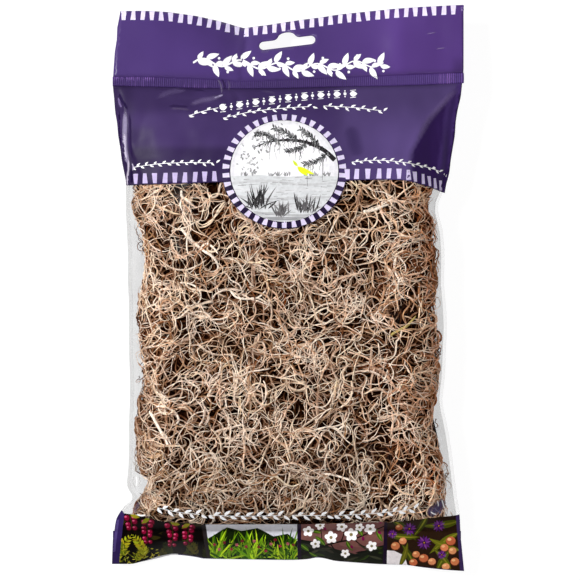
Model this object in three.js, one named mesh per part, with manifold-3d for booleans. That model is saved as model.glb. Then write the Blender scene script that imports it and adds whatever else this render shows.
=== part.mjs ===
// Bag of preserved Spanish moss: a filled pillow bag of clear printed film, lying on its back.
// Millimetres, +Z up, +Y towards the header, origin under the middle of the bag's box.
//
// The film is one flattened tube, 196 mm wide, welded down both sides, heat sealed below the
// header and again above the bottom skirt.  Every stretch of film between two welds is a closed
// body of its own.  The filling is a tangle of thin stems, packed as locks in three columns and
// five rows, with single loose strands lying on top of it, directly under the front panel.
import * as THREE from 'three';
import Module from 'manifold-3d';
import { mergeVertices } from 'three/addons/utils/BufferGeometryUtils.js';

const wasm = await Module();
wasm.setup();

// ---------------------------------------------------------------- driving dimensions
const FILM = 0.6;            // thickness of a film body
const GAP = 0.3;             // clearance between two neighbouring bodies
const HALF_GAP = GAP / 2;
const WELD_WIDTH = 2.0;      // width of a side weld
const SEAL_HALF = 0.5;       // half thickness of a crimp seal
const HEADER_HALF = 0.4;     // half thickness of the folded header film
const SKIRT_HALF = 0.4;      // half thickness of the bottom skirt
const BODY_TOP = 112.8;      // nominal y of the body's upper end (lower edge of the top seal)
const BODY_BOTTOM = -136.0;  // y of the body's lower end (upper edge of the bottom seal)
const SEAL_Z_TOP = 25.0;     // height of the top seal above the surface
const SEAL_Z_BOTTOM = 17.0;  // height of the bottom seal
const REST_Z = FILM + HALF_GAP; // height of the back panel's seam plane where it lies flat
const LOCK_COLUMNS = 3;
const LOCK_ROWS = 5;
const LOCK_GAP = 0.6;        // gap between two moss locks
const LOCK_ABOVE_FILM = 1.6; // room between the back panel and the locks
const LOCK_BELOW_FILM = 3.4; // room above the locks for the loose strands
const STRAND_BELOW_FILM = 1.75; // depth of a loose strand's middle under the film
const STRAND_RADIUS = 0.75;
const SLOT_LENGTH = 31.7;    // hang slot, tip to tip
const SLOT_ARM = 5.0;        // height of the slot's arms
const SLOT_HUMP = 5.3;       // radius of the slot's round middle
const SLOT_AT = [-0.3, 138.3];
const SLOT_TILT = 6.8;       // degrees, as the slot lies in plan on the drooping header

// side edges of the body: [y, left x, right x, height of the weld]
const SIDE_EDGES = [
  [113.3, -98.0, 97.7, 25.0], [105.6, -97.2, 96.9, 24.1], [98.9, -96.7, 95.3, 23.4],
  [92.2, -95.6, 94.2, 22.8], [85.5, -95.0, 93.7, 22.2], [78.8, -93.9, 92.6, 21.6],
  [72.1, -93.1, 91.5, 21.0], [65.4, -91.8, 90.7, 20.4], [58.7, -90.7, 89.0, 20.0],
  [45.2, -90.7, 84.2, 19.9], [31.8, -90.1, 87.0, 19.8], [18.3, -89.6, 87.9, 19.7],
  [4.9, -89.6, 87.6, 19.6], [-8.6, -89.0, 88.7, 19.5], [-22.0, -89.0, 89.3, 19.5],
  [-35.5, -89.0, 88.7, 19.4], [-48.9, -88.5, 88.2, 19.3], [-62.4, -88.5, 86.8, 19.2],
  [-75.9, -89.0, 89.3, 19.1], [-89.3, -89.0, 91.6, 19.0], [-102.8, -89.6, 93.3, 18.4],
  [-109.6, -90.2, 94.1, 18.1], [-112.9, -89.4, 94.6, 18.0], [-116.9, -86.6, 95.0, 17.8],
  [-123.1, -92.5, 96.1, 17.6], [-129.8, -96.4, 96.7, 17.3], [-136.6, -97.5, 97.0, 17.0],
];
// height of the front panel along the bag's middle: [y, z]
const CROWN = [
  [113.5, 25.2], [108, 28.0], [100, 32.0], [90, 36.5], [75, 41.5], [60, 45.0], [40, 48.0],
  [15, 49.7], [-20, 50.2], [-60, 50.0], [-90, 48.6], [-108, 45.8], [-119, 40.5], [-127, 33.0],
  [-133, 23.5], [-135.7, 17.4],
];
// facet beside each side edge: [y, left width, left share, right width, right share]
const FACETS = [
  [113.5, 2.0, 0.30, 2.0, 0.50], [107.2, 3.0, 0.30, 5.5, 0.70], [98.9, 3.5, 0.32, 10.5, 0.80],
  [94.4, 3.6, 0.34, 14.5, 0.82], [83.3, 4.0, 0.36, 20.0, 0.82], [73.8, 5.0, 0.38, 22.6, 0.80],
  [61.6, 8.0, 0.42, 21.0, 0.72], [45.0, 16.0, 0.50, 18.0, 0.62], [20.0, 20.0, 0.55, 20.0, 0.58],
  [-100, 20.0, 0.55, 20.0, 0.55], [-125, 14.0, 0.50, 14.0, 0.50], [-136.5, 8.0, 0.40, 8.0, 0.40],
];
// edges of the top seal: [x, upper y, lower y]
const TOP_SEAL = [
  [-98.0, 118.4, 113.5], [-71.4, 118.1, 112.8], [-49.1, 117.3, 112.2], [-25.0, 116.1, 111.9],
  [-4.3, 116.7, 112.1], [23.6, 117.8, 112.8], [51.6, 118.9, 113.3], [74.0, 119.8, 113.9],
  [98.3, 120.6, 115.0],
];
// upper edge of the header, with the fold valley near x = -24: [x, y, z]
const HEADER_TOP = [
  [-93.9, 155.9, 16.8], [-83.0, 156.0, 17.0], [-75.1, 155.8, 16.8], [-67.3, 155.4, 15.6],
  [-59.5, 154.5, 13.7], [-51.6, 153.5, 11.6], [-43.8, 152.0, 8.8], [-36.0, 150.3, 6.2],
  [-28.1, 148.2, 3.4], [-24.2, 147.4, 2.4], [-20.2, 148.0, 3.0], [-12.3, 148.9, 4.0],
  [-4.4, 150.0, 5.4], [3.5, 151.1, 6.8], [11.4, 152.1, 8.2], [19.3, 153.0, 9.6],
  [27.2, 154.1, 11.2], [35.0, 154.9, 12.7], [42.9, 155.6, 14.2], [50.7, 156.3, 15.6],
  [58.5, 157.0, 17.0], [66.4, 157.5, 18.2], [74.2, 158.0, 19.3], [82.0, 158.3, 20.2],
  [89.8, 158.7, 20.9], [98.5, 159.0, 21.4],
];
// bottom seal's lower edge is straight; the skirt's free edge waves: [x, y, z]
const BOTTOM_SEAL_LOW = -141.1;
const BOTTOM_SEAL_X = [[-98.1, 97.0], [-98.2, 97.3]]; // upper edge, lower edge
const SKIRT_EDGE = [
  [-99.3, -155.5, 4.6], [-88.6, -155.5, 4.4], [-83.5, -154.5, 3.5], [-75.7, -152.9, 2.1],
  [-67.8, -151.0, 0.9], [-65.0, -150.5, 0.6], [-59.9, -150.8, 0.8], [-51.9, -151.8, 1.3],
  [-47.4, -152.6, 1.9], [-36.1, -152.9, 2.1], [-21.4, -153.1, 2.3], [1.3, -153.4, 2.5],
  [11.5, -152.9, 2.1], [16.5, -152.1, 1.6], [19.4, -152.3, 1.7], [27.3, -153.9, 3.0],
  [35.2, -154.5, 3.5], [51.0, -155.5, 4.6], [66.8, -156.0, 5.4], [74.6, -157.0, 6.8],
  [90.3, -158.5, 9.4], [99.3, -159.0, 10.6],
];
// loose strands: plan points [x, y] of the stem first, then of its side shoots
const STRANDS = {
  strand_forked_pale: [
    [[-59.0, 33.3], [-55.1, 28.6], [-50.7, 24.4], [-46.3, 20.8], [-42.4, 18.4], [-39.6, 15.3], [-38.5, 12.0], [-39.6, 9.2], [-42.1, 7.6]],
    [[-48.5, 22.5], [-45.2, 25.0], [-41.3, 22.8], [-38.5, 19.2]],
  ],
  strand_top_left: [
    [[-59.0, 54.6], [-58.8, 51.3], [-55.1, 48.5], [-50.7, 44.6]],
    [[-58.4, 50.7], [-59.6, 46.8], [-58.4, 43.0]],
  ],
  strand_wavy_left: [
    [[-62.9, 25.8], [-64.5, 22.5], [-61.8, 19.2], [-57.3, 17.2], [-55.4, 14.8], [-56.0, 11.4]],
  ],
  strand_short_arch: [
    [[-59.6, 3.4], [-54.6, 2.9], [-50.7, 0.9], [-48.3, -2.4], [-48.3, -5.7], [-50.2, -8.5]],
  ],
  strand_lower_wave: [
    [[-31.9, -0.7], [-28.6, -4.6], [-22.5, -5.7], [-16.7, -5.1], [-13.1, -6.8], [-9.8, -9.3]],
    [[-16.7, -5.1], [-14.2, -3.2], [-12.0, -0.7]],
  ],
  strand_bow_right: [
    [[45.8, 32.5], [41.1, 33.0], [35.6, 32.5], [30.0, 30.9], [30.6, 27.5], [32.2, 23.6], [31.7, 19.7], [28.9, 17.5]],
  ],
  strand_flat_pale: [
    [[41.9, 42.7], [45.5, 43.2], [49.4, 44.3], [52.7, 45.7], [56.0, 46.8]],
  ],
  strand_loop_right: [
    [[60.4, 18.6], [59.1, 14.8], [59.6, 9.2], [61.5, 4.8], [60.7, 0.9], [57.7, -2.1], [53.8, -3.5]],
    [[60.4, 18.6], [63.2, 15.9], [65.4, 12.0], [64.9, 8.7]],
  ],
  strand_arch_mid: [
    [[22.3, 0.4], [26.2, 4.3], [31.7, 6.7], [37.8, 8.1], [43.0, 9.2]],
  ],
  strand_olive_band: [
    [[56.0, -26.7], [58.8, -24.5], [62.1, -22.8], [66.0, -20.6], [68.7, -17.9], [71.2, -15.1]],
  ],
  strand_straight_pale: [
    [[-77.0, -68.2], [-73.9, -73.2], [-70.6, -79.0], [-66.7, -86.4], [-63.1, -92.8]],
    [[-70.6, -79.0], [-67.3, -82.0], [-64.5, -87.0]],
  ],
  strand_coil_left: [
    [[-72.8, -65.7], [-69.0, -65.1], [-64.5, -67.1], [-61.2, -70.4], [-60.7, -73.7], [-63.4, -75.6], [-67.8, -75.5]],
  ],
  strand_ring: [
    [[-33.8, -66.0], [-34.4, -61.5], [-35.2, -57.4], [-39.1, -54.9], [-43.0, -56.6], [-44.1, -59.9], [-41.9, -63.2], [-38.5, -64.0]],
  ],
  strand_star_stem: [
    [[-32.5, -45.5], [-29.1, -47.4], [-25.5, -50.3], [-23.3, -53.8], [-21.2, -57.7]],
    [[-21.2, -57.7], [-18.6, -53.8], [-18.1, -49.4]],
    [[-21.2, -57.7], [-17.0, -56.3], [-13.4, -57.7]],
    [[-21.2, -57.7], [-22.2, -62.6], [-24.7, -66.0]],
  ],
  strand_mid_long: [
    [[-25.5, -78.1], [-24.4, -83.7], [-23.9, -89.7], [-24.7, -95.3], [-24.4, -100.2]],
  ],
  strand_s_curve: [
    [[11.8, -79.8], [15.6, -77.9], [19.8, -76.8], [24.5, -76.5], [27.8, -77.9], [30.0, -80.9], [32.8, -84.2], [36.1, -86.7]],
    [[27.8, -77.9], [31.7, -75.6], [34.4, -77.9], [34.7, -80.9]],
  ],
  strand_long_arc: [
    [[16.2, -105.2], [18.4, -103.2], [21.2, -102.5], [25.0, -103.0], [28.9, -104.1], [33.9, -105.8], [38.3, -107.7], [42.2, -109.1], [46.6, -110.3], [54.4, -111.3]],
  ],
  strand_right_curl: [
    [[52.5, -72.0], [55.5, -70.4], [58.8, -71.2], [61.3, -73.4], [61.3, -76.5], [58.8, -78.1], [55.7, -76.7]],
  ],
  strand_upper_arc: [
    [[33.3, -35.0], [38.9, -36.4], [44.4, -38.6], [47.7, -42.2], [49.7, -47.7], [50.5, -54.6]],
  ],
};

// ---------------------------------------------------------------- interpolation
// Monotone cubic through a table of rows sorted by their first number.
function curve(rows, column) {
  const pts = rows.map((r) => [r[0], r[column]]).sort((a, b) => a[0] - b[0]);
  const n = pts.length;
  const d = [];
  for (let i = 0; i < n - 1; i += 1) d.push((pts[i + 1][1] - pts[i][1]) / (pts[i + 1][0] - pts[i][0]));
  const m = pts.map((p, i) => {
    if (i === 0) return d[0];
    if (i === n - 1) return d[n - 2];
    if (d[i - 1] * d[i] <= 0) return 0;
    return 2 / (1 / d[i - 1] + 1 / d[i]);
  });
  return (x) => {
    if (x <= pts[0][0]) return pts[0][1];
    if (x >= pts[n - 1][0]) return pts[n - 1][1];
    let i = 0;
    while (x > pts[i + 1][0]) i += 1;
    const h = pts[i + 1][0] - pts[i][0];
    const t = (x - pts[i][0]) / h;
    const t2 = t * t;
    const t3 = t2 * t;
    return (2 * t3 - 3 * t2 + 1) * pts[i][1] + (t3 - 2 * t2 + t) * h * m[i]
      + (-2 * t3 + 3 * t2) * pts[i + 1][1] + (t3 - t2) * h * m[i + 1];
  };
}
const smooth = (a, b, x) => {
  const t = Math.min(1, Math.max(0, (x - a) / (b - a)));
  return t * t * (3 - 2 * t);
};
const leftX = curve(SIDE_EDGES, 1);
const rightX = curve(SIDE_EDGES, 2);
const weldZ = curve(SIDE_EDGES, 3);
const crownZ = curve(CROWN, 1);
const facetL = curve(FACETS, 1);
const shareL = curve(FACETS, 2);
const facetR = curve(FACETS, 3);
const shareR = curve(FACETS, 4);
const sealUp = curve(TOP_SEAL, 1);
const sealLow = curve(TOP_SEAL, 2);
const headerY = curve(HEADER_TOP, 1);
const headerZ = curve(HEADER_TOP, 2);
const skirtY = curve(SKIRT_EDGE, 1);
const skirtZ = curve(SKIRT_EDGE, 2);

// ---------------------------------------------------------------- the film's mid surfaces
// row = nominal y of a row of the body, u = -1 at the left edge ... +1 at the right edge
const bodyX = (u, row) => leftX(row) + (rightX(row) - leftX(row)) * (u + 1) / 2;
const bodyY = (x, row) => row + smooth(BODY_TOP - 45, BODY_TOP, row) * (sealLow(x) - BODY_TOP);

function frontZ(x, row) {
  const l = leftX(row) + WELD_WIDTH;
  const r = rightX(row) - WELD_WIDTH;
  const half = (r - l) / 2;
  const mid = (r + l) / 2;
  const left = x < mid;
  const t = Math.max(0, left ? x - l : r - x);
  const width = left ? facetL(row) : facetR(row);
  const share = left ? shareL(row) : shareR(row);
  const facet = t >= width ? 1 : 1 - (1 - t / width) ** 1.6;
  const dome = 1 - (1 - Math.min(1, t / half)) ** 2.4;
  const w = weldZ(row);
  return w + (crownZ(row) - w) * (share * facet + (1 - share) * dome);
}
function backZ(x, row) {
  const l = leftX(row) + WELD_WIDTH;
  const r = rightX(row) - WELD_WIDTH;
  const w = weldZ(row);
  const end = REST_Z + (SEAL_Z_TOP - REST_Z) * smooth(66, BODY_TOP + 2, row) ** 1.1
    + (SEAL_Z_BOTTOM - REST_Z) * (1 - smooth(BODY_BOTTOM - 2, -104, row)) ** 1.1;
  const t = Math.max(0, Math.min(x - l, r - x));
  const side = 1 - smooth(-6, 24, t);
  return end + Math.max(0, w - end) * side / (1 - smooth(-6, 24, 0));
}

// ---------------------------------------------------------------- closed bodies from grids
// upper and lower are arrays of rows of [x, y, z]; rows run left to right (+X) and stack to +Y
function slab(upper, lower) {
  const nv = upper.length;
  const nu = upper[0].length;
  const position = [];
  const index = [];
  for (const grid of [upper, lower]) for (const row of grid) for (const p of row) position.push(...p);
  const up = (i, j) => j * nu + i;
  const low = (i, j) => nu * nv + j * nu + i;
  for (let j = 0; j < nv - 1; j += 1) {
    for (let i = 0; i < nu - 1; i += 1) {
      index.push(up(i, j), up(i + 1, j), up(i + 1, j + 1), up(i, j), up(i + 1, j + 1), up(i, j + 1));
      index.push(low(i, j), low(i + 1, j + 1), low(i + 1, j), low(i, j), low(i, j + 1), low(i + 1, j + 1));
    }
  }
  const rim = [];
  for (let i = 0; i < nu - 1; i += 1) rim.push([i, 0]);
  for (let j = 0; j < nv - 1; j += 1) rim.push([nu - 1, j]);
  for (let i = nu - 1; i > 0; i -= 1) rim.push([i, nv - 1]);
  for (let j = nv - 1; j > 0; j -= 1) rim.push([0, j]);
  for (let k = 0; k < rim.length; k += 1) {
    const [ai, aj] = rim[k];
    const [bi, bj] = rim[(k + 1) % rim.length];
    index.push(low(ai, aj), low(bi, bj), up(bi, bj), low(ai, aj), up(bi, bj), up(ai, aj));
  }
  const geometry = new THREE.BufferGeometry();
  geometry.setAttribute('position', new THREE.Float32BufferAttribute(position, 3));
  geometry.setIndex(index);
  return geometry;
}
const lift = (grid, dz) => grid.map((row) => row.map(([x, y, z]) => [x, y, z + dz]));
const spread = (a, b, n) => Array.from({ length: n }, (_, i) => a + (b - a) * i / (n - 1));

function toManifold(geometry) {
  const bare = geometry.clone();
  bare.deleteAttribute('normal');
  bare.deleteAttribute('uv');
  const merged = mergeVertices(bare, 1e-4);
  return new wasm.Manifold(new wasm.Mesh({
    numProp: 3,
    vertProperties: new Float32Array(merged.attributes.position.array),
    triVerts: new Uint32Array(merged.index.array),
  }));
}
function fromManifold(solid) {
  const mesh = solid.getMesh();
  const geometry = new THREE.BufferGeometry();
  const position = new Float32Array(mesh.numVert * 3);
  for (let i = 0; i < mesh.numVert; i += 1) {
    for (let k = 0; k < 3; k += 1) position[i * 3 + k] = mesh.vertProperties[i * mesh.numProp + k];
  }
  geometry.setAttribute('position', new THREE.BufferAttribute(position, 3));
  geometry.setIndex(new THREE.BufferAttribute(new Uint32Array(mesh.triVerts), 1));
  return geometry;
}

// ---------------------------------------------------------------- assembly
const bag = new THREE.Group();
bag.name = 'bag_of_spanish_moss';
function add(name, geometry, color, roughness, more = {}) {
  const material = new THREE.MeshStandardMaterial({ color, roughness, metalness: 0, ...more });
  const shown = geometry.index ? geometry.toNonIndexed() : geometry;
  shown.computeVertexNormals();
  const mesh = new THREE.Mesh(shown, material);
  mesh.name = name;
  bag.add(mesh);
}
const CLEAR = { transparent: true, opacity: 0.35 };

// rows of the body: closer together towards both seals
const ROWS = [-135.7, -132.5, -129, -125, -121, -117, -113, -109, -103, -94, -80, -60, -38, -15, 8, 28, 45, 58, 68, 78, 87, 95, 102, 108, BODY_TOP - GAP];

// front panel: from weld to weld
const columns = (row, marks) => {
  const l = leftX(row) + WELD_WIDTH + GAP;
  const r = rightX(row) - WELD_WIDTH - GAP;
  return marks.map((t) => l + (r - l) * t);
};
const FRONT_MARKS = [0, 0.012, 0.028, 0.05, 0.085, 0.13, 0.19, 0.28, 0.4, 0.52, 0.64, 0.74, 0.81, 0.865, 0.905, 0.94, 0.965, 0.985, 1];
const front = ROWS.map((row) => columns(row, FRONT_MARKS).map((x) => [x, bodyY(x, row), frontZ(x, row) + HALF_GAP]));
add('front_film', slab(lift(front, FILM), front), 0xd9d6d6, 0.15, CLEAR);

// back panel: flat where the bag rests, rising to the welds and seals
const BACK_MARKS = [0, 0.03, 0.065, 0.1, 0.14, 0.3, 0.5, 0.7, 0.86, 0.9, 0.935, 0.97, 1];
const back = ROWS.map((row) => columns(row, BACK_MARKS).map((x) => [x, bodyY(x, row), backZ(x, row) - HALF_GAP]));
add('back_film', slab(back, lift(back, -FILM)), 0xd9d6d6, 0.15, CLEAR);

// side welds: the two panels fused into one narrow strip
for (const side of ['left', 'right']) {
  const strip = ROWS.map((row) => {
    const edge = side === 'left' ? leftX(row) : rightX(row);
    const xs = side === 'left' ? [edge, edge + WELD_WIDTH] : [edge - WELD_WIDTH, edge];
    return xs.map((x) => [x, bodyY(x, row), weldZ(row)]);
  });
  add(`${side}_side_weld`, slab(lift(strip, FILM), lift(strip, -FILM)), 0xe4e2e2, 0.2, CLEAR);
}

// top crimp seal
const sealX = (t) => -98.0 + 196.2 * t;
const SEAL_MARKS = spread(0, 1, 21);
const topSeal = [0, 1].map((k) => SEAL_MARKS.map((t) => {
  const x = sealX(t);
  return [x, k === 0 ? sealLow(x) : sealUp(x), SEAL_Z_TOP];
}));
add('top_crimp_seal', slab(lift(topSeal, SEAL_HALF), lift(topSeal, -SEAL_HALF)), 0x4f3a72, 0.35);

// header: double film folded over at its upper edge, drooping into a valley left of the slot
const HEADER_ROWS = [0, 0.25, 0.5, 0.75, 1];
const headerMarks = HEADER_TOP.map((p) => p[0]);
const headerPoint = (xTop, t) => {
  const s = (xTop + 93.9) / 192.4;
  const xLow = -97.8 + 196.1 * s;
  const y0 = sealUp(xLow) + GAP;
  const x = xLow + (xTop - xLow) * t;
  return [x, y0 + (headerY(xTop) - y0) * t, SEAL_Z_TOP + (headerZ(xTop) - SEAL_Z_TOP) * t ** 1.2];
};
const header = HEADER_ROWS.map((t) => headerMarks.map((x) => headerPoint(x, t)));
const headerSolid = toManifold(slab(lift(header, HEADER_HALF), lift(header, -HEADER_HALF)));
const arm = SLOT_ARM / 2;
const reach = SLOT_LENGTH / 2 - arm;
const slot = new THREE.Shape();
slot.moveTo(-reach, -arm);
slot.lineTo(reach, -arm);
slot.absarc(reach, 0, arm, -Math.PI / 2, Math.PI / 2, false);
slot.lineTo(7.4, arm);
slot.quadraticCurveTo(5.4, arm + 0.2, 4.4, arm + 2.2);
slot.quadraticCurveTo(2.9, SLOT_HUMP + 0.9, 0, SLOT_HUMP + 0.9);
slot.quadraticCurveTo(-2.9, SLOT_HUMP + 0.9, -4.4, arm + 2.2);
slot.quadraticCurveTo(-5.4, arm + 0.2, -7.4, arm);
slot.lineTo(-reach, arm);
slot.absarc(-reach, 0, arm, Math.PI / 2, 3 * Math.PI / 2, false);
const cutter = new THREE.ExtrudeGeometry(slot, { depth: 60, bevelEnabled: false, curveSegments: 5 });
cutter.rotateZ(THREE.MathUtils.degToRad(SLOT_TILT));
cutter.translate(SLOT_AT[0], SLOT_AT[1], -10);
add('header_tab', fromManifold(headerSolid.subtract(toManifold(cutter))), 0x533d7d, 0.3);

// bottom crimp seal
const bottomSeal = [0, 1].map((k) => SEAL_MARKS.map((t) => {
  const [l, r] = BOTTOM_SEAL_X[1 - k];
  return [l + (r - l) * t, k === 0 ? BOTTOM_SEAL_LOW : BODY_BOTTOM, SEAL_Z_BOTTOM];
}));
add('bottom_crimp_seal', slab(lift(bottomSeal, SEAL_HALF), lift(bottomSeal, -SEAL_HALF)), 0x6f7a55, 0.35);

// bottom skirt: loose double film hanging from the bottom seal to the surface
const skirtPoint = (xLow, t) => { // t = 0 at the free edge, 1 at the seal
  const s = (xLow + 99.3) / 198.6;
  const xUp = BOTTOM_SEAL_X[1][0] + (BOTTOM_SEAL_X[1][1] - BOTTOM_SEAL_X[1][0]) * s;
  const yUp = BOTTOM_SEAL_LOW - GAP;
  return [xLow + (xUp - xLow) * t, skirtY(xLow) + (yUp - skirtY(xLow)) * t,
    skirtZ(xLow) + (SEAL_Z_BOTTOM - skirtZ(xLow)) * (1 - (1 - t) ** 1.15)];
};
const skirt = [0, 0.35, 0.7, 1].map((t) => SKIRT_EDGE.map(([x]) => skirtPoint(x, t)));
add('bottom_skirt', slab(lift(skirt, SKIRT_HALF), lift(skirt, -SKIRT_HALF)), 0x7a8358, 0.3);

// moss locks: each fills its own patch between the panels, rounded off towards its neighbours
const LOCK_TOP_ROW = 92;
const LOCK_BOTTOM_ROW = -129.5;
const LOCK_SIDE = 5.5; // distance from the bag's side edges
const lockLine = (k, row) => { // dividing lines between columns, x
  const l = leftX(row) + LOCK_SIDE;
  const r = rightX(row) - LOCK_SIDE;
  const wander = k > 0 && k < LOCK_COLUMNS ? 5 * Math.sin(row / 17 + k * 2.1) : 0;
  return l + (r - l) * k / LOCK_COLUMNS + wander;
};
const lockRow = (k, t) => { // dividing lines between rows; t = 0 left ... 1 right
  const base = LOCK_BOTTOM_ROW + (LOCK_TOP_ROW - LOCK_BOTTOM_ROW) * k / LOCK_ROWS;
  const wander = k > 0 && k < LOCK_ROWS ? 6 * Math.sin(t * 7.3 + k * 1.7) : 0;
  return base + wander;
};
let lockNumber = 0;
for (let j = 0; j < LOCK_ROWS; j += 1) {
  for (let i = 0; i < LOCK_COLUMNS; i += 1) {
    lockNumber += 1;
    const upper = [];
    const lower = [];
    for (const b of spread(0, 1, 6)) {
      const upperRow = [];
      const lowerRow = [];
      for (const a of spread(0, 1, 6)) {
        const t = (i + a) / LOCK_COLUMNS;
        const y0 = lockRow(j, t) + LOCK_GAP / 2;
        const y1 = lockRow(j + 1, t) - LOCK_GAP / 2;
        const row = y0 + (y1 - y0) * b;
        const x0 = lockLine(i, row) + LOCK_GAP / 2;
        const x1 = lockLine(i + 1, row) - LOCK_GAP / 2;
        const x = x0 + (x1 - x0) * a;
        const y = bodyY(x, row);
        const rim = Math.max(Math.abs(2 * a - 1), Math.abs(2 * b - 1));
        const low = backZ(x, row) - HALF_GAP + LOCK_ABOVE_FILM;
        const high = frontZ(x, row) - LOCK_BELOW_FILM;
        const round = rim > 0.99 ? 1.6 : 0;
        const z = Math.max(low + 1.2, high - round);
        upperRow.push([x, y, z]);
        lowerRow.push([x, y, low + (rim > 0.99 ? Math.min(1.2, (z - low) * 0.25) : 0)]);
      }
      upper.push(upperRow);
      lower.push(lowerRow);
    }
    add(`moss_lock_${String(lockNumber).padStart(2, '0')}`, slab(upper, lower), 0x8a7060, 0.85);
  }
}

// loose strands: forked stems lying between the locks and the front panel
const ringShape = (radius, sides) => {
  const shape = new THREE.Shape();
  for (let i = 0; i < sides; i += 1) {
    const a = 2 * Math.PI * i / sides;
    if (i === 0) shape.moveTo(radius, 0);
    else shape.lineTo(radius * Math.cos(a), radius * Math.sin(a));
  }
  shape.closePath();
  return shape;
};
const rowOf = (x, y) => { // the body row that passes through a plan point
  let row = y;
  for (let k = 0; k < 8; k += 1) row += y - bodyY(x, row);
  return row;
};
const tube = (points, radius, step) => {
  const path = new THREE.CatmullRomCurve3(points.map(([x, y]) => new THREE.Vector3(
    x, y, frontZ(x, rowOf(x, y)) - STRAND_BELOW_FILM)), false, 'centripetal');
  const steps = Math.max(4, Math.round(path.getLength() / step));
  return toManifold(new THREE.ExtrudeGeometry(ringShape(radius, 6), { steps, bevelEnabled: false, extrudePath: path }));
};
for (const [name, shoots] of Object.entries(STRANDS)) {
  let solid = tube(shoots[0], STRAND_RADIUS, 2.6);
  for (const shoot of shoots.slice(1)) solid = solid.add(tube(shoot, STRAND_RADIUS * 0.8, 2.4));
  add(name, fromManifold(solid), 0xcdb297, 0.7);
}

export default bag;
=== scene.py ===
"""Looks of the filled bag of dried Spanish moss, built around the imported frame."""

import math

import bmesh
import bpy
import numpy as np
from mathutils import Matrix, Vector
from mathutils.geometry import delaunay_2d_cdt


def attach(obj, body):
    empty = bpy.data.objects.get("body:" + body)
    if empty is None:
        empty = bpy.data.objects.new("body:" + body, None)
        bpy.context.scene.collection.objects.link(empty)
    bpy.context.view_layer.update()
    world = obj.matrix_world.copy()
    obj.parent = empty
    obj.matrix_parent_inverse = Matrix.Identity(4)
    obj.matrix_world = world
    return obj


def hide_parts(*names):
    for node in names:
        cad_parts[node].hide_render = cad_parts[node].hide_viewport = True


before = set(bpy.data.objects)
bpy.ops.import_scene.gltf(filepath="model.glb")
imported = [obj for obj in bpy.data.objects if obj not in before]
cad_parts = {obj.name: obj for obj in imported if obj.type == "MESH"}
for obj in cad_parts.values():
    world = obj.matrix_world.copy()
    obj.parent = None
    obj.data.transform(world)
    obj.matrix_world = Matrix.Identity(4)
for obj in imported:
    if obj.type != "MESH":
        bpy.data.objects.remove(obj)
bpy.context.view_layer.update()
MM = 0.001
rng = np.random.default_rng(20261124)

# ------------------------------------------------------------------ the bag's shape (mm), as in the CAD
WELD = 2.0
BODY_TOP = 112.8
BODY_BOTTOM = -136.0
SEAL_Z_TOP = 25.0
SEAL_Z_BOTTOM = 17.0
REST_Z = 0.75
SEAL_LOW = -141.1
SIDE_EDGES = [
    [113.3, -98.0, 97.7, 25.0], [105.6, -97.2, 96.9, 24.1], [98.9, -96.7, 95.3, 23.4],
    [92.2, -95.6, 94.2, 22.8], [85.5, -95.0, 93.7, 22.2], [78.8, -93.9, 92.6, 21.6],
    [72.1, -93.1, 91.5, 21.0], [65.4, -91.8, 90.7, 20.4], [58.7, -90.7, 89.0, 20.0],
    [45.2, -90.7, 84.2, 19.9], [31.8, -90.1, 87.0, 19.8], [18.3, -89.6, 87.9, 19.7],
    [4.9, -89.6, 87.6, 19.6], [-8.6, -89.0, 88.7, 19.5], [-22.0, -89.0, 89.3, 19.5],
    [-35.5, -89.0, 88.7, 19.4], [-48.9, -88.5, 88.2, 19.3], [-62.4, -88.5, 86.8, 19.2],
    [-75.9, -89.0, 89.3, 19.1], [-89.3, -89.0, 91.6, 19.0], [-102.8, -89.6, 93.3, 18.4],
    [-109.6, -90.2, 94.1, 18.1], [-112.9, -89.4, 94.6, 18.0], [-116.9, -86.6, 95.0, 17.8],
    [-123.1, -92.5, 96.1, 17.6], [-129.8, -96.4, 96.7, 17.3], [-136.6, -97.5, 97.0, 17.0]]
CROWN = [
    [113.5, 25.2], [108, 28.0], [100, 32.0], [90, 36.5], [75, 41.5], [60, 45.0], [40, 48.0],
    [15, 49.7], [-20, 50.2], [-60, 50.0], [-90, 48.6], [-108, 45.8], [-119, 40.5], [-127, 33.0],
    [-133, 23.5], [-135.7, 17.4]]
FACETS = [
    [113.5, 2.0, 0.30, 2.0, 0.50], [107.2, 3.0, 0.30, 5.5, 0.70], [98.9, 3.5, 0.32, 10.5, 0.80],
    [94.4, 3.6, 0.34, 14.5, 0.82], [83.3, 4.0, 0.36, 20.0, 0.82], [73.8, 5.0, 0.38, 22.6, 0.80],
    [61.6, 8.0, 0.42, 21.0, 0.72], [45.0, 16.0, 0.50, 18.0, 0.62], [20.0, 20.0, 0.55, 20.0, 0.58],
    [-100, 20.0, 0.55, 20.0, 0.55], [-125, 14.0, 0.50, 14.0, 0.50], [-136.5, 8.0, 0.40, 8.0, 0.40]]
TOP_SEAL = [
    [-98.0, 118.4, 113.5], [-71.4, 118.1, 112.8], [-49.1, 117.3, 112.2], [-25.0, 116.1, 111.9],
    [-4.3, 116.7, 112.1], [23.6, 117.8, 112.8], [51.6, 118.9, 113.3], [74.0, 119.8, 113.9],
    [98.3, 120.6, 115.0]]
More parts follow.
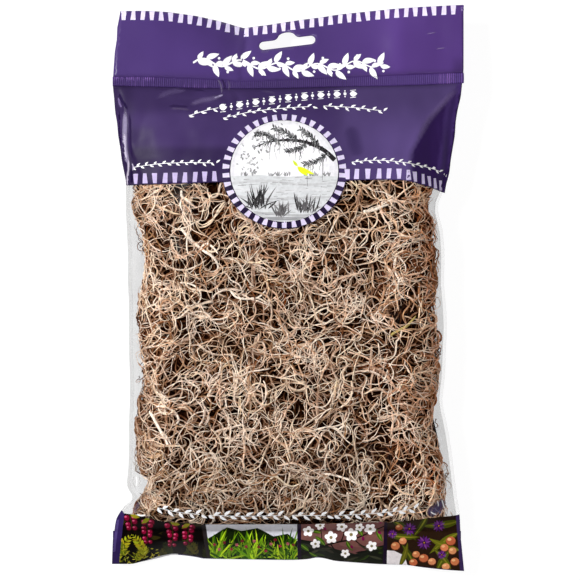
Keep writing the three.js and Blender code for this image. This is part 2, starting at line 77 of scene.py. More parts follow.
HEADER_TOP = [
    [-93.9, 155.9, 16.8], [-83.0, 156.0, 17.0], [-75.1, 155.8, 16.8], [-67.3, 155.4, 15.6],
    [-59.5, 154.5, 13.7], [-51.6, 153.5, 11.6], [-43.8, 152.0, 8.8], [-36.0, 150.3, 6.2],
    [-28.1, 148.2, 3.4], [-24.2, 147.4, 2.4], [-20.2, 148.0, 3.0], [-12.3, 148.9, 4.0],
    [-4.4, 150.0, 5.4], [3.5, 151.1, 6.8], [11.4, 152.1, 8.2], [19.3, 153.0, 9.6],
    [27.2, 154.1, 11.2], [35.0, 154.9, 12.7], [42.9, 155.6, 14.2], [50.7, 156.3, 15.6],
    [58.5, 157.0, 17.0], [66.4, 157.5, 18.2], [74.2, 158.0, 19.3], [82.0, 158.3, 20.2],
    [89.8, 158.7, 20.9], [98.5, 159.0, 21.4]]
SKIRT_EDGE = [
    [-99.3, -155.5, 4.6], [-88.6, -155.5, 4.4], [-83.5, -154.5, 3.5], [-75.7, -152.9, 2.1],
    [-67.8, -151.0, 0.9], [-65.0, -150.5, 0.6], [-59.9, -150.8, 0.8], [-51.9, -151.8, 1.3],
    [-47.4, -152.6, 1.9], [-36.1, -152.9, 2.1], [-21.4, -153.1, 2.3], [1.3, -153.4, 2.5],
    [11.5, -152.9, 2.1], [16.5, -152.1, 1.6], [19.4, -152.3, 1.7], [27.3, -153.9, 3.0],
    [35.2, -154.5, 3.5], [51.0, -155.5, 4.6], [66.8, -156.0, 5.4], [74.6, -157.0, 6.8],
    [90.3, -158.5, 9.4], [99.3, -159.0, 10.6]]
# how far the filling reaches to the left and right of the bag: [y, left x, right x]
MOSS_SIDES = [
    [100, -88, 86], [75, -88, 86], [51.5, -87.5, 78.5], [44.8, -86.5, 77.0], [38.2, -84.2, 81.3],
    [31.5, -80.5, 81.3], [24.8, -80.0, 80.9], [18.2, -79.0, 82.0], [11.5, -79.4, 82.4], [4.8, -80.4, 82.9],
    [-1.8, -81.5, 82.0], [-8.5, -83.2, 81.6], [-15.1, -84.2, 82.0], [-21.8, -83.2, 82.4], [-28.4, -82.6, 83.6],
    [-41.8, -81.0, 84.2], [-48.4, -81.0, 84.8], [-55.1, -81.0, 83.2], [-61.7, -83.6, 82.4], [-68.4, -84.2, 80.8],
    [-75.0, -85.3, 79.4], [-81.7, -84.8, 82.0], [-88.3, -84.8, 83.1], [-95.0, -83.6, 85.3], [-101.6, -82.6, 85.5],
    [-108.3, -77.5, 87.6], [-114.9, -81.5, 86.5], [-121.6, -85.5, 86.8], [-131.0, -88.5, 88.0]]


def curve(rows, column):
    """Monotone cubic through a table, the same one as the CAD uses."""
    p = sorted((float(r[0]), float(r[column])) for r in rows)
    x = np.array([q[0] for q in p])
    y = np.array([q[1] for q in p])
    d = np.diff(y) / np.diff(x)
    m = np.zeros(len(x))
    m[0], m[-1] = d[0], d[-1]
    for i in range(1, len(x) - 1):
        m[i] = 0.0 if d[i - 1] * d[i] <= 0 else 2 / (1 / d[i - 1] + 1 / d[i])

    def f(v):
        v = np.clip(np.asarray(v, float), x[0], x[-1])
        i = np.clip(np.searchsorted(x, v, side="right") - 1, 0, len(x) - 2)
        h = x[i + 1] - x[i]
        t = (v - x[i]) / h
        return ((2 * t**3 - 3 * t**2 + 1) * y[i] + (t**3 - 2 * t**2 + t) * h * m[i]
                + (3 * t**2 - 2 * t**3) * y[i + 1] + (t**3 - t**2) * h * m[i + 1])
    return f


def smooth(a, b, x):
    t = np.clip((x - a) / (b - a), 0, 1)
    return t * t * (3 - 2 * t)


left_x, right_x, weld_z = (curve(SIDE_EDGES, k) for k in (1, 2, 3))
crown_z = curve(CROWN, 1)
facet_l, share_l, facet_r, share_r = (curve(FACETS, k) for k in (1, 2, 3, 4))
seal_up, seal_low = curve(TOP_SEAL, 1), curve(TOP_SEAL, 2)
header_y, header_z = curve(HEADER_TOP, 1), curve(HEADER_TOP, 2)
skirt_y, skirt_z = curve(SKIRT_EDGE, 1), curve(SKIRT_EDGE, 2)
moss_edge = (curve(MOSS_SIDES, 1), curve(MOSS_SIDES, 2))


REACH = 0.0  # how far past the edge of the filling single stems may stray, mm


def moss_l(y):
    return np.maximum(moss_edge[0](y) - 1.3 - REACH - 1.2 * smooth(15, 45, y), left_x(y) + 2.6)


def moss_r(y):
    return np.minimum(moss_edge[1](y) + 1.5 + REACH, right_x(y) - 2.6)



def body_y(x, row):
    return row + smooth(BODY_TOP - 45, BODY_TOP, row) * (seal_low(x) - BODY_TOP)


def row_of(x, y):
    row = np.array(y, float)
    for _ in range(8):
        row = row + (y - body_y(x, row))
    return row


def front_z(x, row):
    l = left_x(row) + WELD
    r = right_x(row) - WELD
    half = (r - l) / 2
    left = x < (r + l) / 2
    t = np.maximum(0, np.where(left, x - l, r - x))
    width = np.where(left, facet_l(row), facet_r(row))
    share = np.where(left, share_l(row), share_r(row))
    u = np.minimum(1, t / width)
    crisp = 0.85 * smooth(50, 72, row) * np.where(left, 0.5, 1.0)
    facet = (1 - crisp) * (1 - (1 - u) ** 1.6) + crisp * u
    dome = 1 - (1 - np.minimum(1, t / half)) ** 2.4
    w = weld_z(row)
    return w + (crown_z(row) - w) * (share * facet + (1 - share) * dome)


def back_z(x, row):
    l = left_x(row) + WELD
    r = right_x(row) - WELD
    w = weld_z(row)
    end = (REST_Z + (SEAL_Z_TOP - REST_Z) * smooth(66, BODY_TOP + 2, row) ** 1.1
           + (SEAL_Z_BOTTOM - REST_Z) * (1 - smooth(BODY_BOTTOM - 2, -104, row)) ** 1.1)
    t = np.maximum(0, np.minimum(x - l, r - x))
    side = 1 - smooth(-6, 24, t)
    return end + np.maximum(0, w - end) * side / (1 - smooth(-6, 24, 0.0))


def header_surface(x, y):
    """Height of the header's middle plane over a plan point."""
    xt = np.array(x, float)
    for _ in range(6):
        s = (xt + 93.9) / 192.4
        xl = -97.8 + 196.1 * s
        y0 = seal_up(xl)
        t = np.clip((y - y0) / (header_y(xt) - y0), 0, 1)
        s = (x + 97.8 * (1 - t) + 93.9 * t) / (196.1 * (1 - t) + 192.4 * t)
        xt = -93.9 + 192.4 * s
    return SEAL_Z_TOP + (header_z(xt) - SEAL_Z_TOP) * t ** 1.2


def skirt_surface(x, y):
    ye = skirt_y(x)
    t = np.clip((y - ye) / (SEAL_LOW - ye), 0, 1)
    return skirt_z(x) + (SEAL_Z_BOTTOM - skirt_z(x)) * (1 - (1 - t) ** 1.15)


# soft folds in the film: points [x, y], half width, height (mm); positive stands up
FOLDS = [
    ([(-49, 110), (-41, 107), (-36, 104), (-35, 99)], 2.2, 1.0),
    ([(-58, 107.5), (-46, 106.5), (-39, 103.5)], 1.8, 0.7),
    ([(-72, 104), (-60, 105.5), (-50, 104.5)], 2.4, -0.5),
    ([(-66, 99), (-52, 98), (-44, 96)], 2.2, 0.5),
    ([(-30, 111), (-27, 104), (-30, 98)], 2.0, -0.8),
    ([(-24, 112), (-22, 104), (-24, 97)], 2.6, 0.6),
    ([(-5, 109), (4, 107), (12, 108)], 1.6, 0.4),
    ([(-80, 96), (-74, 84), (-74, 70)], 6.0, 0.5),
    ([(36, 92), (38, 80), (37, 68)], 6.5, -0.9),
    ([(58, 100), (56, 84), (57, 66)], 6.0, 0.6),
    ([(20, 108), (40, 106), (62, 108)], 3.0, 0.4),
    ([(86, 92), (86.5, 80), (86, 66)], 2.0, 0.9),
    ([(79, 84), (80, 70), (79, 60)], 2.6, -0.6),
    ([(-94, 98), (-91, 84), (-89, 72)], 1.4, 0.5),
    ([(-89, 66), (-88, 60), (-88.5, 56)], 1.2, 0.9),
    ([(84, -96), (83, -106), (84, -114)], 3.2, 1.2),
    ([(76, -108), (82, -112), (87, -110)], 1.8, 0.8),
    ([(-86, -104), (-88, -112), (-90, -118)], 1.6, 0.9),
    ([(-86, -117), (-78, -113), (-70, -113)], 1.8, -0.9),
    ([(84, 45), (76, 42), (66, 43)], 2.4, -0.8),
    ([(84, 36), (80, 22), (82, 8)], 1.6, 0.6),
    ([(86, -10), (84, -30), (85, -48)], 1.5, 0.6),
    ([(-86, 30), (-85, 10), (-86, -8)], 1.5, 0.5),
    ([(-86, -40), (-85, -60), (-86, -84)], 1.5, 0.5),
]
HEADER_FOLDS = [
    ([(-24.5, 148), (-24, 138), (-25, 128), (-28, 118)], 2.2, -1.1),
    ([(-38, 146), (-37, 132), (-38, 122)], 7.0, 0.6),
    ([(62, 152), (60, 138), (62, 124)], 7.0, 0.8),
    ([(84, 150), (86, 138), (84, 126)], 6.0, -0.6),
    ([(76, 144), (84, 143.4)], 0.8, 0.18),
    ([(80, 138), (88, 137.6)], 0.7, 0.15),
    ([(-84, 146), (-70, 145)], 1.0, 0.15),
    ([(-60, 150), (-66, 134), (-64, 122)], 9.0, -0.4),
    ([(18, 150), (20, 134), (18, 122)], 8.0, -0.35),
]
SKIRT_FOLDS = [
    ([(-49, -141), (-50, -148), (-48, -154)], 1.6, 0.7),
    ([(-66, -152), (-72, -146), (-80, -142)], 3.0, 0.5),
    ([(19, -153), (18, -147), (22, -142)], 2.4, -0.5),
    ([(52, -141), (50, -150), (52, -156)], 4.0, 0.5),
    ([(92, -128), (90, -140), (94, -156)], 1.6, 0.5),
]


def strokes(x, y, folds):
    z = np.zeros_like(x)
    for pts, w, h in folds:
        best = np.full_like(x, 1e9)
        along = np.zeros_like(x)
        seg = np.array(pts, float)
        lens = np.hypot(*np.diff(seg, axis=0).T)
        total = lens.sum()
        start = 0.0
        for (ax, ay), (bx, by), n in zip(seg[:-1], seg[1:], lens):
            t = np.clip(((x - ax) * (bx - ax) + (y - ay) * (by - ay)) / n**2, 0, 1)
            d = np.hypot(x - ax - t * (bx - ax), y - ay - t * (by - ay))
            near = d < best
            best = np.where(near, d, best)
            along = np.where(near, (start + t * n) / total, along)
            start += n
        ends = 0.35 + 0.65 * np.sin(np.pi * np.clip(along, 0, 1)) ** 0.6
        z += h * ends * np.exp(-(best / w) ** 2)
    return z


def waves(x, y, seed, size, n=10):
    """Smooth random surface, about -1 .. 1, with features of the given size in mm."""
    r = np.random.default_rng(seed)
    z = np.zeros_like(x)
    for _ in range(n):
        a = r.uniform(0, 2 * math.pi)
        k = 2 * math.pi / (size * r.uniform(0.7, 1.8))
        z += np.sin(k * (x * math.cos(a) + y * math.sin(a)) + r.uniform(0, 6.28))
    return z / math.sqrt(n)


def top_surface(x, y):
    """Height of the bag's upper film over a plan point, all stretches in one."""
    x = np.asarray(x, float)
    y = np.asarray(y, float)
    row = row_of(x, np.clip(y, BODY_BOTTOM, 120))
    z = front_z(x, row) + 0.6
    inner = smooth(0, 10, np.minimum(x - left_x(row), right_x(row) - x)) * smooth(BODY_BOTTOM, BODY_BOTTOM + 8, y)
    fade = 1 - smooth(seal_low(x) - 6, seal_low(x), y)
    z = z + inner * fade * (0.25 * waves(x, y, 3, 26) + 0.12 * waves(x, y, 4, 9)) + (0.25 + 0.75 * fade) * strokes(x, y, FOLDS)
    up = seal_up(x)
    low = seal_low(x)
    head = header_surface(x, y) + 0.3 + smooth(0, 6, y - up) * (strokes(x, y, HEADER_FOLDS) + 0.15 * waves(x, y, 5, 24))
    z = np.where(y > up, head, z)
    z = np.where((y <= up) & (y > low), SEAL_Z_TOP + 0.45, z)
    skirt = skirt_surface(x, y) + 0.3 + strokes(x, y, SKIRT_FOLDS) * smooth(0, 3, SEAL_LOW - y)
    z = np.where(y < SEAL_LOW, skirt, z)
    z = np.where((y <= BODY_BOTTOM) & (y >= SEAL_LOW), SEAL_Z_BOTTOM + 0.4, z)
    return z


# ------------------------------------------------------------------ mesh helpers
def link(me, name):
    ob = bpy.data.objects.new(name, me)
    bpy.context.scene.collection.objects.link(ob)
    return ob


def mesh_object(name, verts_mm, faces, smooth_shade=True):
    me = bpy.data.meshes.new(name)
    me.from_pydata((np.asarray(verts_mm, float) * MM).tolist(), [], [tuple(int(i) for i in f) for f in faces])
    me.validate()
    if smooth_shade:
        me.polygons.foreach_set("use_smooth", [True] * len(me.polygons))
    me.update()
    return link(me, name)


def thicken(ob, mm, offset=-1.0):
    """Gives a sheet its thickness as real geometry."""
    mod = ob.modifiers.new("thickness", "SOLIDIFY")
    mod.thickness = mm * MM
    mod.offset = offset
    mod.use_even_offset = False
    dg = bpy.context.evaluated_depsgraph_get()
    me = bpy.data.meshes.new_from_object(ob.evaluated_get(dg))
    ob.modifiers.clear()
    old = ob.data
    ob.data = me
    bpy.data.meshes.remove(old)
    return ob


def plan_uv(ob, name="OFBake"):
    """One shared UV map from the plan, so that the baked picture is laid out as seen from above."""
    me = ob.data
    n = len(me.vertices)
    co = np.empty(n * 3)
    me.vertices.foreach_get("co", co)
    co = co.reshape(-1, 3)
    lo, hi = co.min(0), co.max(0)
    side = max(hi[0] - lo[0], hi[1] - lo[1]) * 1.02
    vi = np.empty(len(me.loops), dtype=np.int64)
    me.loops.foreach_get("vertex_index", vi)
    uv = (co[vi][:, :2] - lo[:2]) / side + 0.01
    layer = me.uv_layers.get(name) or me.uv_layers.new(name=name)
    layer.data.foreach_set("uv", uv.astype(np.float32).ravel())


def poly_area(p):
    p = np.asarray(p)
    x, y = p[:, 0], p[:, 1]
    return 0.5 * float(np.sum(x * np.roll(y, -1) - y * np.roll(x, -1)))


def inside(points, poly):
    poly = np.asarray(poly)
    x, y = points[:, 0], points[:, 1]
    res = np.zeros(len(points), bool)
    j = len(poly) - 1
    for i in range(len(poly)):
        xi, yi = poly[i]
        xj, yj = poly[j]
        if yi != yj:
            hit = ((yi > y) != (yj > y)) & (x < (xj - xi) * (y - yi) / (yj - yi) + xi)
            res ^= hit
        j = i
    return res


def dense(poly, step):
    """A closed outline with points no further apart than step."""
    poly = np.asarray(poly, float)
    out = []
    for a, b in zip(poly, np.roll(poly, -1, axis=0)):
        n = max(1, int(math.ceil(np.hypot(*(b - a)) / step)))
        for k in range(n):
            out.append(a + (b - a) * k / n)
    return np.array(out)


def filled(outlines, spacing, step=None):
    """Triangulates plan outlines (the first is the outside, the others are holes), with an even grid of inner points."""
    step = step or spacing
    rings = [dense(o, step) for o in outlines]
    verts, edges = [], []
    for r in rings:
        base = len(verts)
        verts += [tuple(p) for p in r]
        edges += [(base + i, base + (i + 1) % len(r)) for i in range(len(r))]
    lo, hi = rings[0].min(0), rings[0].max(0)
    ys = np.arange(lo[1] + spacing * 0.5, hi[1], spacing * 0.87)
    pts = []
    for k, y in enumerate(ys):
        xs = np.arange(lo[0] + spacing * (0.5 if k % 2 else 0.25), hi[0], spacing)
        pts.append(np.stack([xs, np.full_like(xs, y)], 1))
    if pts:
        pts = np.concatenate(pts)
        keep = inside(pts, rings[0])
        for r in rings[1:]:
            keep &= ~inside(pts, r)
        allr = np.concatenate(rings)
        pts = pts[keep]
        if len(pts):
            near = np.ones(len(pts), bool)
            for i in range(0, len(pts), 2000):
                d = np.hypot(pts[i:i + 2000, None, 0] - allr[None, :, 0], pts[i:i + 2000, None, 1] - allr[None, :, 1]).min(1)
                near[i:i + 2000] = d > spacing * 0.45
            verts += [tuple(p) for p in pts[near]]
    v, _, f, *_ = delaunay_2d_cdt([Vector(p) for p in verts], edges, [], 1 if len(rings) == 1 else 0, 1e-6)
    v = np.array([(p.x, p.y) for p in v])
    f = np.array([t for t in f if len(t) == 3])
    c = v[f].mean(1)
    keep = inside(c, rings[0])
    for r in rings[1:]:
        keep &= ~inside(c, r)
    f = f[keep]
    a = v[f]
    ccw = ((a[:, 1, 0] - a[:, 0, 0]) * (a[:, 2, 1] - a[:, 0, 1]) - (a[:, 1, 1] - a[:, 0, 1]) * (a[:, 2, 0] - a[:, 0, 0])) > 0
    f[~ccw] = f[~ccw][:, ::-1]
    used = np.unique(f)
    remap = -np.ones(len(v), int)
    remap[used] = np.arange(len(used))
    return v[used], remap[f]


def sheet_on(name, outlines, spacing, surface, offset, step=None):
    v, f = filled(outlines, spacing, step)
    z = surface(v[:, 0], v[:, 1]) + offset
    return mesh_object(name, np.column_stack([v, z]), f)


# ------------------------------------------------------------------ materials
def srgb(r, g, b):
    def f(c):
        c /= 255
        return c / 12.92 if c <= 0.04045 else ((c + 0.055) / 1.055) ** 2.4
    return (f(r), f(g), f(b))


class Nodes:
    def __init__(self, name):
        self.mat = bpy.data.materials.new(name)
        self.mat.use_nodes = True
        self.t = self.mat.node_tree
        self.t.nodes.clear()
        self.out = self.t.nodes.new("ShaderNodeOutputMaterial")

    def n(self, kind, **kw):
        node = self.t.nodes.new(kind)
        for k, v in kw.items():
            if k.startswith("i_"):
                key = k[2:].replace("_", " ")
                node.inputs[key].default_value = v
            else:
                setattr(node, k, v)
        return node

    def l(self, a, b):
        self.t.links.new(a, b)


def ramp(node, stops):
    r = node.color_ramp
    while len(r.elements) > 1:
        r.elements.remove(r.elements[-1])
    r.elements[0].position = stops[0][0]
    r.elements[0].color = (*stops[0][1], 1) if len(stops[0][1]) == 3 else stops[0][1]
    for p, c in stops[1:]:
        e = r.elements.new(p)
        e.color = (*c, 1) if len(c) == 3 else c


def coords(m, scale=1.0):
    tc = m.n("ShaderNodeTexCoord")
    return tc.outputs["Object"]


def printed_film(name, colour, dark, rough=0.34, spec=0.18, coat=0.0, bump=0.05, toned=False):
    """Satin printed film: slightly uneven ink, faint web lines, soft gloss. toned: a 'tone' attribute multiplies the
    ink; it holds painted light and shade, such as that of folds and creases.
    """
    m = Nodes(name)
    bsdf = m.n("ShaderNodeBsdfPrincipled")
    co = coords(m)
    n1 = m.n("ShaderNodeTexNoise", i_Scale=28.0, i_Detail=3.0, i_Roughness=0.5)
    n2 = m.n("ShaderNodeTexNoise", i_Scale=900.0, i_Detail=2.0, i_Roughness=0.6)
    m.l(co, n1.inputs["Vector"])
    m.l(co, n2.inputs["Vector"])
    mix = m.n("ShaderNodeMix", data_type="RGBA")
    mix.inputs["A"].default_value = (*dark, 1)
    mix.inputs["B"].default_value = (*colour, 1)
    r1 = m.n("ShaderNodeMapRange")
    r1.inputs["From Min"].default_value = 0.3
    r1.inputs["From Max"].default_value = 0.7
    m.l(n1.outputs["Fac"], r1.inputs["Value"])
    m.l(r1.outputs["Result"], mix.inputs["Factor"])
    if toned:
        att = m.n("ShaderNodeAttribute", attribute_name="tone")
        by = m.n("ShaderNodeVectorMath", operation="MULTIPLY")
        m.l(mix.outputs["Result"], by.inputs[0])
        m.l(att.outputs["Color"], by.inputs[1])
        m.l(by.outputs["Vector"], bsdf.inputs["Base Color"])
    else:
        m.l(mix.outputs["Result"], bsdf.inputs["Base Color"])
    rr = m.n("ShaderNodeMapRange")
    rr.inputs["To Min"].default_value = rough - 0.05
    rr.inputs["To Max"].default_value = rough + 0.07
    m.l(n2.outputs["Fac"], rr.inputs["Value"])
    m.l(rr.outputs["Result"], bsdf.inputs["Roughness"])
    bsdf.inputs["Specular IOR Level"].default_value = spec
    bsdf.inputs["Coat Weight"].default_value = coat
    bsdf.inputs["Coat Roughness"].default_value = 0.12
    b = m.n("ShaderNodeBump")
    b.inputs["Strength"].default_value = bump
    b.inputs["Distance"].default_value = 0.0002
    m.l(n1.outputs["Fac"], b.inputs["Height"])
    m.l(b.outputs["Normal"], bsdf.inputs["Normal"])
    m.l(bsdf.outputs["BSDF"], m.out.inputs["Surface"])
    return m.mat


def ink_film(name, rough=0.44, spec=0.03, grain=0.10):
    """Printed pictures: the ink's colour is held on the points, broken up by a fine print grain."""
    m = Nodes(name)
    bsdf = m.n("ShaderNodeBsdfPrincipled")
    att = m.n("ShaderNodeAttribute", attribute_name="ink")
    co = coords(m)
    n1 = m.n("ShaderNodeTexNoise", i_Scale=420.0, i_Detail=4.0, i_Roughness=0.65)
    m.l(co, n1.inputs["Vector"])
    rr = m.n("ShaderNodeMapRange")
    rr.inputs["From Min"].default_value = 0.3
    rr.inputs["From Max"].default_value = 0.7
    rr.inputs["To Min"].default_value = 1 - grain
    rr.inputs["To Max"].default_value = 1 + grain
    m.l(n1.outputs["Fac"], rr.inputs["Value"])
    mul = m.n("ShaderNodeVectorMath", operation="SCALE")
    m.l(att.outputs["Color"], mul.inputs[0])
    m.l(rr.outputs["Result"], mul.inputs["Scale"])
    m.l(mul.outputs["Vector"], bsdf.inputs["Base Color"])
    bsdf.inputs["Roughness"].default_value = rough
    bsdf.inputs["Specular IOR Level"].default_value = spec
    m.l(bsdf.outputs["BSDF"], m.out.inputs["Surface"])
    return m.mat


def clear_film(name, haze=0.03, tint=(0.93, 0.93, 0.94), gloss=0.6, rough=0.08, streaks=0.0, bump=0.2, through=0.985, most=0.02, through_right_shaded=None):
    """Thin clear film: mostly see-through, a little haze, and gloss that grows at grazing angles."""
    m = Nodes(name)
    co = coords(m)
    tr = m.n("ShaderNodeBsdfTransparent")
    tr.inputs["Color"].default_value = (through, through, through, 1)
    if through_right_shaded is not None:  # painted shade: towards the right side of the bag the film lets less through
        part = m.n("ShaderNodeSeparateXYZ")
        m.l(co, part.inputs["Vector"])
        right_shade = m.n("ShaderNodeMapRange")
        right_shade.inputs["From Min"].default_value = -0.088
        right_shade.inputs["From Max"].default_value = 0.088
        right_shade.inputs["To Min"].default_value = through
        right_shade.inputs["To Max"].default_value = through_right_shaded
        m.l(part.outputs["X"], right_shade.inputs["Value"])
        both = m.n("ShaderNodeCombineXYZ")
        for axis in "XYZ":
            m.l(right_shade.outputs["Result"], both.inputs[axis])
        m.l(both.outputs["Vector"], tr.inputs["Color"])
    df = m.n("ShaderNodeBsdfDiffuse")
    df.inputs["Color"].default_value = (*tint, 1)
    gl = m.n("ShaderNodeBsdfGlossy")
    gl.inputs["Roughness"].default_value = rough
    gl.inputs["Color"].default_value = (1, 1, 1, 1)
    n1 = m.n("ShaderNodeTexNoise", i_Scale=60.0, i_Detail=3.0, i_Roughness=0.55)
    m.l(co, n1.inputs["Vector"])
    hz = m.n("ShaderNodeMapRange")
    hz.inputs["From Min"].default_value = 0.35
    hz.inputs["From Max"].default_value = 0.7
    hz.inputs["To Min"].default_value = haze
    hz.inputs["To Max"].default_value = haze + streaks
    m.l(n1.outputs["Fac"], hz.inputs["Value"])
    if through_right_shaded is not None:
        wide = m.n("ShaderNodeMath", operation="ABSOLUTE")
        m.l(part.outputs["X"], wide.inputs[0])
        scuff = m.n("ShaderNodeMapRange")
        scuff.inputs["From Min"].default_value = 0.074
        scuff.inputs["From Max"].default_value = 0.079
        scuff.inputs["To Min"].default_value = 0.04
        scuff.inputs["To Max"].default_value = 1.0
        m.l(wide.outputs["Value"], scuff.inputs["Value"])
        amount = m.n("ShaderNodeMath", operation="MULTIPLY")
        m.l(hz.outputs["Result"], amount.inputs[0])
        m.l(scuff.outputs["Result"], amount.inputs[1])
    mix1 = m.n("ShaderNodeMixShader")
    m.l((hz.outputs["Result"] if through_right_shaded is None else amount.outputs["Value"]), mix1.inputs["Fac"])
    m.l(tr.outputs["BSDF"], mix1.inputs[1])
    m.l(df.outputs["BSDF"], mix1.inputs[2])
    fr = m.n("ShaderNodeFresnel")
    fr.inputs["IOR"].default_value = 1.42
    sc = m.n("ShaderNodeMath", operation="MULTIPLY")
    sc.inputs[1].default_value = gloss
    m.l(fr.outputs["Fac"], sc.inputs[0])
    cap = m.n("ShaderNodeMath", operation="MINIMUM")
    cap.inputs[1].default_value = most
    m.l(sc.outputs["Value"], cap.inputs[0])
    mix2 = m.n("ShaderNodeMixShader")
    m.l(cap.outputs["Value"], mix2.inputs["Fac"])
    m.l(mix1.outputs["Shader"], mix2.inputs[1])
    m.l(gl.outputs["BSDF"], mix2.inputs[2])
    b = m.n("ShaderNodeBump")
    b.inputs["Strength"].default_value = bump
    b.inputs["Distance"].default_value = 0.0006
    m.l(n1.outputs["Fac"], b.inputs["Height"])
    m.l(b.outputs["Normal"], gl.inputs["Normal"])
    m.l(mix2.outputs["Shader"], m.out.inputs["Surface"])
    return m.mat


def moss_material(name, rough=0.78):
    """Dried stems: colour held along each strand, broken by fine grey scales, matte."""
    m = Nodes(name)
    bsdf = m.n("ShaderNodeBsdfPrincipled")
    att = m.n("ShaderNodeAttribute", attribute_name="tone")
    co = coords(m)
    n1 = m.n("ShaderNodeTexNoise", i_Scale=560.0, i_Detail=5.0, i_Roughness=0.74)
    n2 = m.n("ShaderNodeTexNoise", i_Scale=3200.0, i_Detail=2.0, i_Roughness=0.6)
    m.l(co, n1.inputs["Vector"])
    m.l(co, n2.inputs["Vector"])
    rr = m.n("ShaderNodeMapRange")
    rr.inputs["From Min"].default_value = 0.3
    rr.inputs["From Max"].default_value = 0.72
    rr.inputs["To Min"].default_value = 0.50
    rr.inputs["To Max"].default_value = 1.50
    m.l(n1.outputs["Fac"], rr.inputs["Value"])
    mul = m.n("ShaderNodeVectorMath", operation="SCALE")
    m.l(att.outputs["Color"], mul.inputs[0])
    m.l(rr.outputs["Result"], mul.inputs["Scale"])
    m.l(mul.outputs["Vector"], bsdf.inputs["Base Color"])
    bsdf.inputs["Roughness"].default_value = rough
    bsdf.inputs["Specular IOR Level"].default_value = 0.02
    b = m.n("ShaderNodeBump")
    b.inputs["Strength"].default_value = 0.5
    b.inputs["Distance"].default_value = 0.0002
    m.l(n2.outputs["Fac"], b.inputs["Height"])
    m.l(b.outputs["Normal"], bsdf.inputs["Normal"])
    m.l(bsdf.outputs["BSDF"], m.out.inputs["Surface"])
    return m.mat


def put(ob, mat):
    ob.data.materials.clear()
    ob.data.materials.append(mat)


PURPLE = srgb(77, 56, 117)
PURPLE_DEEP = srgb(72, 52, 110)
LILAC = srgb(227, 217, 247)
LILAC_LEFT = srgb(187, 173, 213)
LILAC_RIGHT = srgb(216, 203, 240)
LILAC_RING = srgb(210, 200, 228)
mat_header = printed_film("purple_header_film", PURPLE, PURPLE_DEEP, rough=0.30, toned=True)
mat_band = printed_film("purple_band_film", srgb(67, 51, 97), srgb(61, 46, 90), rough=0.34, spec=0.035, toned=True)
mat_label = printed_film("purple_label_film", srgb(74, 55, 108), srgb(62, 46, 94), rough=0.30, spec=0.10, toned=True)
mat_seal = printed_film("purple_crimp_film", srgb(66, 46, 102), srgb(57, 40, 90), rough=0.36, spec=0.04, toned=True)
mat_ticks = printed_film("lilac_print", LILAC, srgb(208, 196, 232), rough=0.34)
mat_white = printed_film("white_print", srgb(248, 246, 250), srgb(236, 232, 242), rough=0.34)
mat_ink = ink_film("picture_print")
mat_clear = clear_film("clear_window_film", haze=0.0, gloss=0.02, rough=0.12, bump=0.08, most=0.0006)
# painted shade: the back film is made darker towards the right side of the bag
mat_margin = clear_film("clear_back_film", haze=0.08, tint=(0.70, 0.69, 0.69), gloss=0.2, rough=0.16, streaks=0.05, through=0.91, most=0.02, through_right_shaded=0.87)
mat_weld = clear_film("clear_weld_film", haze=0.02, tint=(0.70, 0.70, 0.70), gloss=0.2, rough=0.16, streaks=0.02, through=0.975, most=0.02)
mat_moss = moss_material("dried_moss")

# ------------------------------------------------------------------ moss strands
STEP = 1.35


